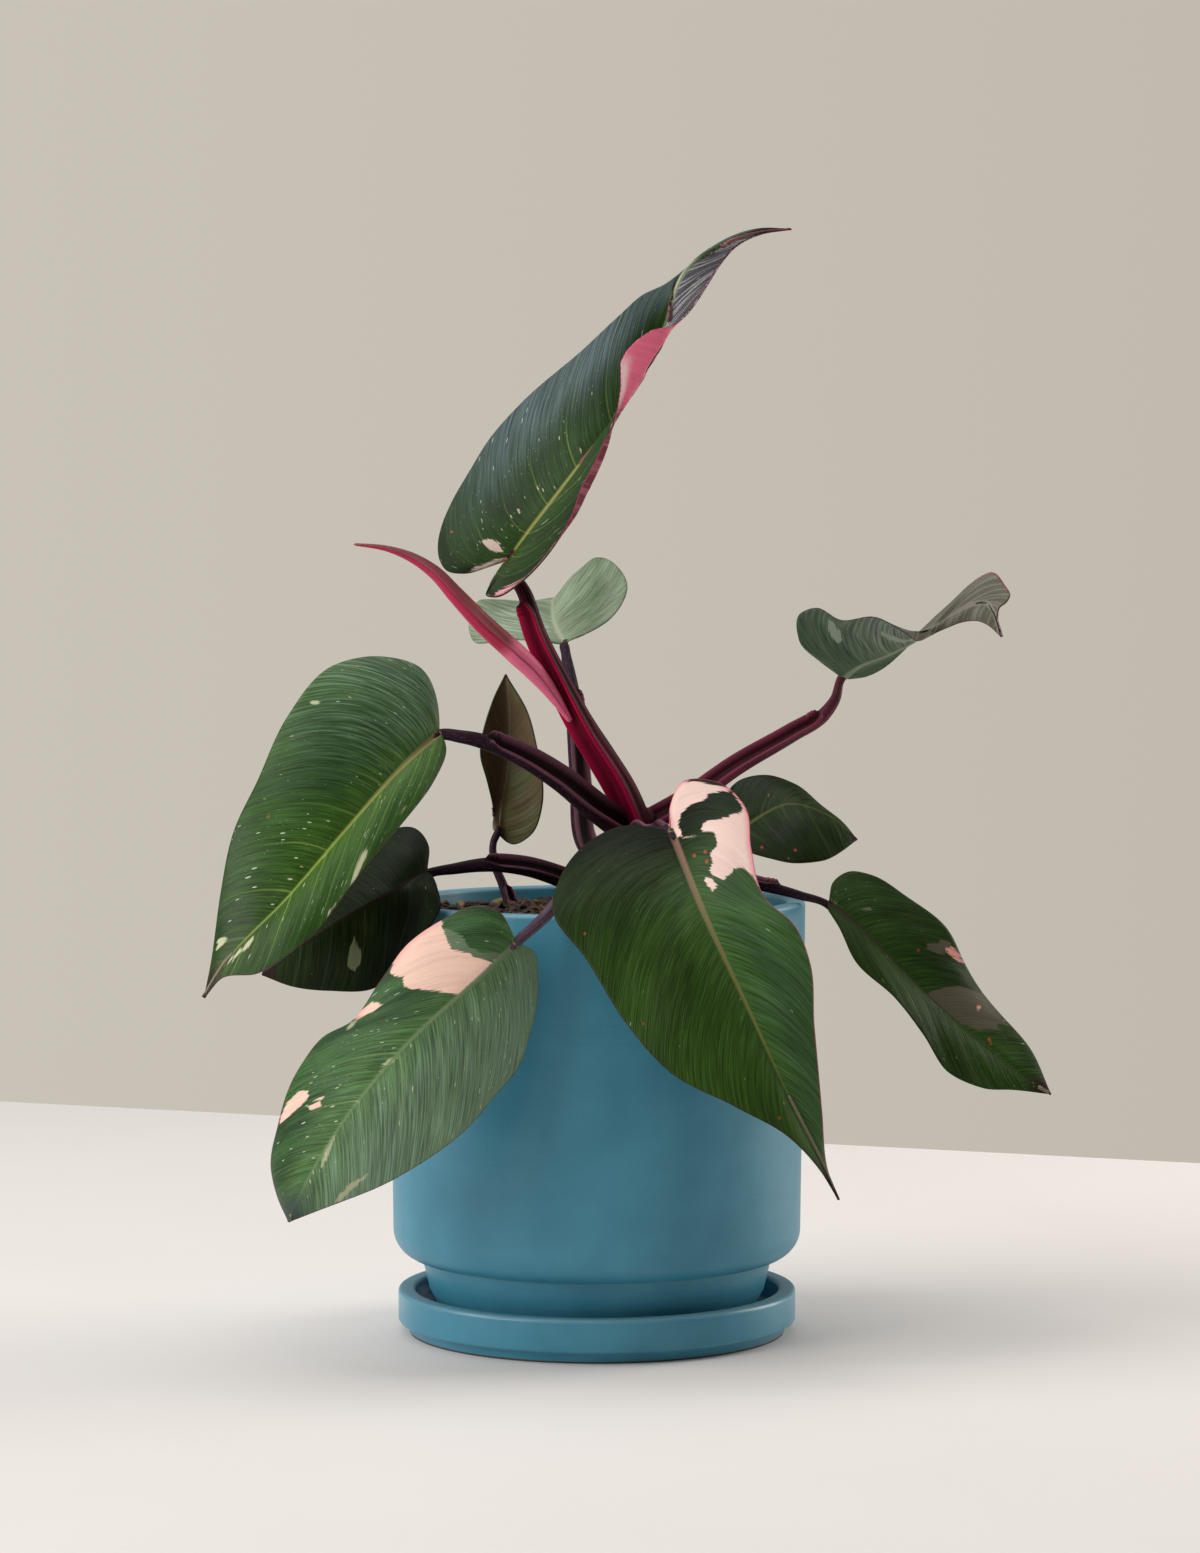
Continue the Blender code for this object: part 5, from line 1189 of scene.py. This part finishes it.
def turned_saucer(finish):
    """The saucer: a low drum with its underside drawn in a little and a flat well above."""
    thing = start_drum(SAUCER_RADIUS, SAUCER_SIDE_BOTTOM, SAUCER_HEIGHT)
    select_faces(thing, cap(SAUCER_SIDE_BOTTOM, False))
    side, heel = SAUCER_BASE_RADIUS + 1.4, SAUCER_BASE_RADIUS + 1.0
    step_cap(SAUCER_RADIUS, side, -SAUCER_STEP)
    resize_selected(heel / side)
    step_cap(0, 0, SAUCER_STEP - SAUCER_SIDE_BOTTOM)
    resize_selected(SAUCER_BASE_RADIUS / heel)
    select_faces(thing, cap(SAUCER_HEIGHT, True))
    step_cap(SAUCER_RADIUS, SAUCER_INNER, SAUCER_FLOOR - SAUCER_HEIGHT)
    bevel_rings(thing, [(SAUCER_RADIUS, SAUCER_HEIGHT, RIM_ROUND, 5),
                        (SAUCER_INNER, SAUCER_HEIGHT, RIM_ROUND, 5),
                        (SAUCER_INNER, SAUCER_FLOOR, SAUCER_HOLLOW, 6),
                        (SAUCER_RADIUS, SAUCER_SIDE_BOTTOM, RIM_ROUND, 4)])
    close_turned(thing, finish, "saucer_glazed", "saucer")


def glaze(name, bare_below, rim_height, rough):
    """Earthenware under a satin blue-teal glaze, dipped and fired: an even coat that pools and breaks a
    little paler at edges, where a painted highlight also lies along the rim, faint mottling, and bare tan
    clay where it was wiped off underneath."""
    made, tree, shader = new_material(name)
    place = add(tree, "TexCoord").outputs["Object"]
    height = add(tree, "SeparateXYZ", {0: place}).outputs[2]
    # Mottling about 20 mm across, and fine pitting of about 1.2 mm
    mottle = add(tree, "TexNoise", {"Vector": place, "Scale": 50.0, "Detail": 4.0})
    pits = add(tree, "TexNoise", {"Vector": place, "Scale": 800.0, "Detail": 2.0})
    cloud = add(tree, "MapRange", {0: mottle, 1: 0.35, 2: 0.65})
    # Paler towards the top of the rim: partly glaze breaking thin at the edge, partly a painted highlight
    # along it
    paler_rim_and_highlight = add(tree, "MapRange", {0: height, 1: (rim_height - 1.6) * MM, 2: (rim_height - 0.2) * MM, 4: 0.5},
              SMOOTH)
    bare = add(tree, "MapRange", {0: height, 1: (bare_below + 0.3) * MM, 2: (bare_below - 0.1) * MM})
    colour = "3A7F98"
    for mask, over in ((cloud, "438AA2"), (paler_rim_and_highlight, "7FA9B5"), (bare, "4A3A2C")):
        colour = add(tree, "Mix", {0: mask, 6: colour, 7: over}, RGBA).outputs[2]
    dulled = add(tree, "MapRange", {0: bare, 3: rough, 4: 0.85})
    # Turning lines round the pot, about 1 mm apart
    turned_at = add(tree, "Mapping", {0: place, 3: (12.0, 12.0, 900.0)})
    lines = add(tree, "TexNoise", {"Vector": turned_at, "Scale": 1.0, "Detail": 3.0})
    relief = add(tree, "Math", {0: pits, 1: lines}, {"operation": "ADD"})
    bump = add(tree, "Bump", {"Strength": 0.12, "Distance": 0.0004, "Height": relief})
    fill(tree, shader, {"Base Color": colour, "Roughness": dulled, "IOR": 1.5, "Specular IOR Level": 0.4,
                        "Normal": bump})
    return made


def clump(x, y):
    """The lumpy surface of the mix: a height in mm from a few crossed ripples."""
    return MIX_CLUMP * (np.sin(0.42 * x + 1.1) * np.sin(0.37 * y + 0.4)
                        + 0.6 * np.sin(0.9 * x - 0.7 * y) * np.sin(0.8 * y + 0.3 * x + 2.0))


def potting_mix(finish):
    """The mix: a lumpy bed in the pot, and on it many bark chips and tufts of moss."""
    top = POT_TOP - MIX_BELOW_RIM
    bed_radius = POT_RIM_RADIUS - POT_WALL - MIX_GAP
    thing = start_drum(bed_radius, top - MIX_DEPTH, top)
    select_faces(thing, cap(top, True))
    for _ in range(MIX_RINGS):
        bpy.ops.mesh.inset(thickness=bed_radius / (MIX_RINGS + 1) * MM, depth=0)
    bpy.ops.object.mode_set(mode="OBJECT")
    places = get_places(thing.data)
    x, y, z = places.T
    upper = z > top - 0.1
    rng = np.random.default_rng(MIX_SEED)
    rough = np.sin(1.9 * x + 0.3) * np.sin(2.1 * y + 1.0) * 0.5 + np.sin(3.7 * x - 2.9 * y) * 0.3
    lumps = clump(x, y) + rough + rng.normal(0, 0.22, len(x))
    places[:, 2] = np.where(upper, z + lumps - 0.6, z)
    set_places(thing.data, places)
    put_attribute(thing.data, "tone", np.full(len(x), 0.12))
    put_attribute(thing.data, "moss", np.zeros(len(x)))

    start_piece()
    bpy.ops.mesh.primitive_ico_sphere_add(subdivisions=1, radius=1)
    seed = bpy.context.active_object
    ball = get_places(seed.data) * MM
    faces = [list(polygon.vertices) for polygon in seed.data.polygons]
    bpy.data.objects.remove(seed)
    corners, sides, tones, mosses = [], [], [], []
    for _ in range(CHIP_COUNT):
        radius = bed_radius * math.sqrt(rng.random())
        bearing = rng.random() * 2 * math.pi
        moss = rng.random() < MOSS_SHARE
        if moss:
            size = rng.uniform(1.2, 3.6, 3) * (0.6, 0.5, 0.3)
        else:
            size = rng.uniform(1.4, 4.2, 3) * (1, 0.55, 0.32)
        size = np.minimum(size, CHIP_LARGEST)
        spot = np.array([radius * math.cos(bearing), radius * math.sin(bearing)])
        limit = bed_radius - 0.4 - size[0]
        if np.linalg.norm(spot) > limit:
            spot = spot / np.linalg.norm(spot) * limit
        lump = ball * (1 + rng.normal(0, 0.16, (len(ball), 1))) * size
        turn_z, tilt = rng.random() * 2 * math.pi, rng.normal(0, 0.35)
        turned = lump @ np.array([[math.cos(tilt), 0, math.sin(tilt)], [0, 1, 0],
                                  [-math.sin(tilt), 0, math.cos(tilt)]])
        turned = turned @ np.array([[math.cos(turn_z), math.sin(turn_z), 0],
                                    [-math.sin(turn_z), math.cos(turn_z), 0], [0, 0, 1]])
        base = float(clump(spot[0], spot[1]))
        place = turned + (spot[0], spot[1], top + base - 0.5 + 0.9 * size[2] * rng.random())
        sides += [[corner + len(corners) * len(ball) for corner in face] for face in faces]
        corners.append(place)
        tones.append(np.full(len(ball), rng.random()))
        mosses.append(np.full(len(ball), float(moss)))
    chips = bpy.data.meshes.new("chips")
    chips.from_pydata(np.concatenate(corners) * MM, [], sides)
    put_attribute(chips, "tone", np.concatenate(tones))
    put_attribute(chips, "moss", np.concatenate(mosses))
    heap = bpy.data.objects.new("chips", chips)
    bpy.context.scene.collection.objects.link(heap)
    start_piece()
    heap.select_set(True)
    thing.select_set(True)
    bpy.context.view_layer.objects.active = thing
    bpy.ops.object.join()
    thing.data.materials.append(finish)
    finish_piece(thing, "bark_mix_bed", "potting_mix")


def bark():
    """Composted pine bark, coir and a little moss, moist: rough chips from near black to orange-brown, and
    olive tufts, all dull with a faint damp gloss."""
    made, tree, shader = new_material("moist_bark_and_moss")
    place = add(tree, "TexCoord").outputs["Object"]
    tone, moss = [add(tree, "Attribute", settings={"attribute_name": kind}).outputs["Fac"]
                  for kind in ("tone", "moss")]
    # Bark fibres of about 1 mm
    fibre = add(tree, "TexNoise", {"Vector": place, "Scale": 900.0, "Detail": 4.0})
    ramp = add(tree, "ValToRGB", {0: tone})
    stops = ramp.color_ramp.elements
    stops[0].color = linear("120C08")
    stops[1].color = linear("8A6E42")
    for position, shade in ((0.3, "241810"), (0.6, "40291A"), (0.85, "6A4A28")):
        stops.new(position).color = linear(shade)
    dark = add(tree, "MapRange", {0: fibre, 1: 0.55, 2: 0.35, 4: 0.6})
    colour = ramp
    for mask, over in ((moss, "5A5A28"), (dark, "140D08")):
        colour = add(tree, "Mix", {0: mask, 6: colour, 7: over}, RGBA).outputs[2]
    bump = add(tree, "Bump", {"Strength": 0.7, "Distance": 0.0006, "Height": fibre})
    fill(tree, shader, {"Base Color": colour, "Roughness": 0.8, "Normal": bump})
    return made


def set_camera():
    data = bpy.data.cameras.new("camera")
    data.sensor_width = 36.0
    data.lens = CAMERA_LENS
    camera = bpy.data.objects.new("camera", data)
    camera.location = CAMERA_PLACE
    camera.rotation_euler = (math.pi / 2 - CAMERA_DIP, 0, 0)
    bpy.context.scene.collection.objects.link(camera)
    bpy.context.scene.camera = camera


def soft_light(name, place, aim, width, height, power, colour):
    data = bpy.data.lights.new(name, "AREA")
    data.shape = "RECTANGLE"
    data.size = width
    data.size_y = height
    data.energy = power
    data.color = linear(colour)[:3]
    lamp = bpy.data.objects.new(name, data)
    away = np.array(place) - np.array(aim)
    lamp.location = place
    lamp.rotation_euler = (math.acos(away[2] / np.linalg.norm(away)), 0, math.atan2(away[0], -away[1]))
    bpy.context.scene.collection.objects.link(lamp)


def set_stage():
    """A plain pale table top that ends behind the plant, a plain warm grey backdrop and soft lights."""
    start_piece()
    bpy.ops.mesh.primitive_plane_add(size=1)
    floor = bpy.context.active_object
    floor.name = "pale_table"
    corners = [(-3.0, -3.0), (3.0, -3.0), (-3.0, 1.64), (3.0, -0.69)]
    for vertex, (x, y) in zip(floor.data.vertices, corners):
        vertex.co = (x, y, 0)
    made, tree, shader = new_material("pale_matt_table")
    place = add(tree, "TexCoord").outputs["Object"]
    mottle = add(tree, "TexNoise", {"Vector": place, "Scale": 12.0, "Detail": 3.0})
    pale = add(tree, "Mix", {0: mottle, 6: "E8E4E2", 7: "E4E0DD"}, RGBA).outputs[2]
    fill(tree, shader, {"Base Color": pale, "Roughness": 0.6})
    floor.data.materials.append(made)
    room = bpy.data.worlds.new("plain_room")
    room.use_nodes = True
    tree = room.node_tree
    shade = tree.nodes["Background"]
    fill(tree, shade, {"Color": "ECE7E2", "Strength": 0.2})
    # Seen directly, the backdrop is a little darker towards the right, a painted shade where the light falls
    # off
    look_along = add(tree, "SeparateXYZ", {0: add(tree, "TexCoord").outputs["Generated"]})
    across = add(tree, "MapRange", {0: look_along, 1: -0.15, 2: 0.15})
    grey = add(tree, "Mix", {0: across, 6: "C9C3B7", 7: "C1BAAF"}, RGBA).outputs[2]
    seen = add(tree, "Background", {"Color": grey, "Strength": 1.0})
    ray = add(tree, "LightPath").outputs["Is Camera Ray"]
    both = add(tree, "MixShader", {0: ray, 1: shade, 2: seen})
    fill(tree, tree.nodes["World Output"], {"Surface": both})
    bpy.context.scene.world = room
    bpy.context.scene.view_settings.view_transform = "Standard"
    soft_light("window_left", (-1.45, -0.6, 0.92), (0, 0, 0.16), 1.6, 1.5, 31.0, "FFFCF8")
    soft_light("ceiling", (-0.2, 0.2, 1.7), (0, 0, 0.15), 1.6, 1.2, 15.0, "FFFEFC")
    soft_light("right_card", (1.0, 0.45, 0.45), (0, 0, 0.1), 0.6, 0.9, 9.0, "FFF8F0")


set_camera()
set_stage()
for leaf_name, leaf_slot in (("leaf_top", "leaf_green"), ("leaf_left_upper", "leaf_green"),
                             ("leaf_left_dark", "leaf_dark"), ("leaf_left_front", "leaf_green"),
                             ("leaf_front", "leaf_green"), ("leaf_right_rear", "leaf_dark"),
                             ("leaf_right_low", "leaf_green"), ("leaf_right_twisted", "leaf_pale"),
                             ("leaf_rear_small", "leaf_dark"), ("leaf_rear_pale", "leaf_pale")):
    blade(leaf_name)

purple = petiole_skin("petiole_satin_purple", "2A1C26", "38242E", "5E5262", "8E5A6C", "1E0C12", "34141E")
crimson = petiole_skin("petiole_satin_crimson", "1C0C14", "640F2A", "2A1018", "C8124A", "6A0A28", "520C1C")
wine = petiole_skin("petiole_satin_wine", "4E2830", "6A2E40", "5E4450", "8A3A52", "3A141E", "5C2036")
mauve = petiole_skin("petiole_satin_mauve", "4A3A48", "66545F", "786876", "86607A", "34202A", "4C3440")
PETIOLE_SKINS = {"petiole_top": crimson, "petiole_left_front": mauve, "petiole_right_twisted": wine}
for petiole_name in PETIOLES:
    petiole(petiole_name, PETIOLE_SKINS.get(petiole_name, purple))
rolled_leaf(rolled_leaf_skin())
stem()
turned_pot(glaze("satin_teal_glaze_pot", -10.0, POT_TOP, 0.4))
turned_saucer(glaze("satin_teal_glaze_saucer", 0.5, SAUCER_HEIGHT, 0.26))
potting_mix(bark())
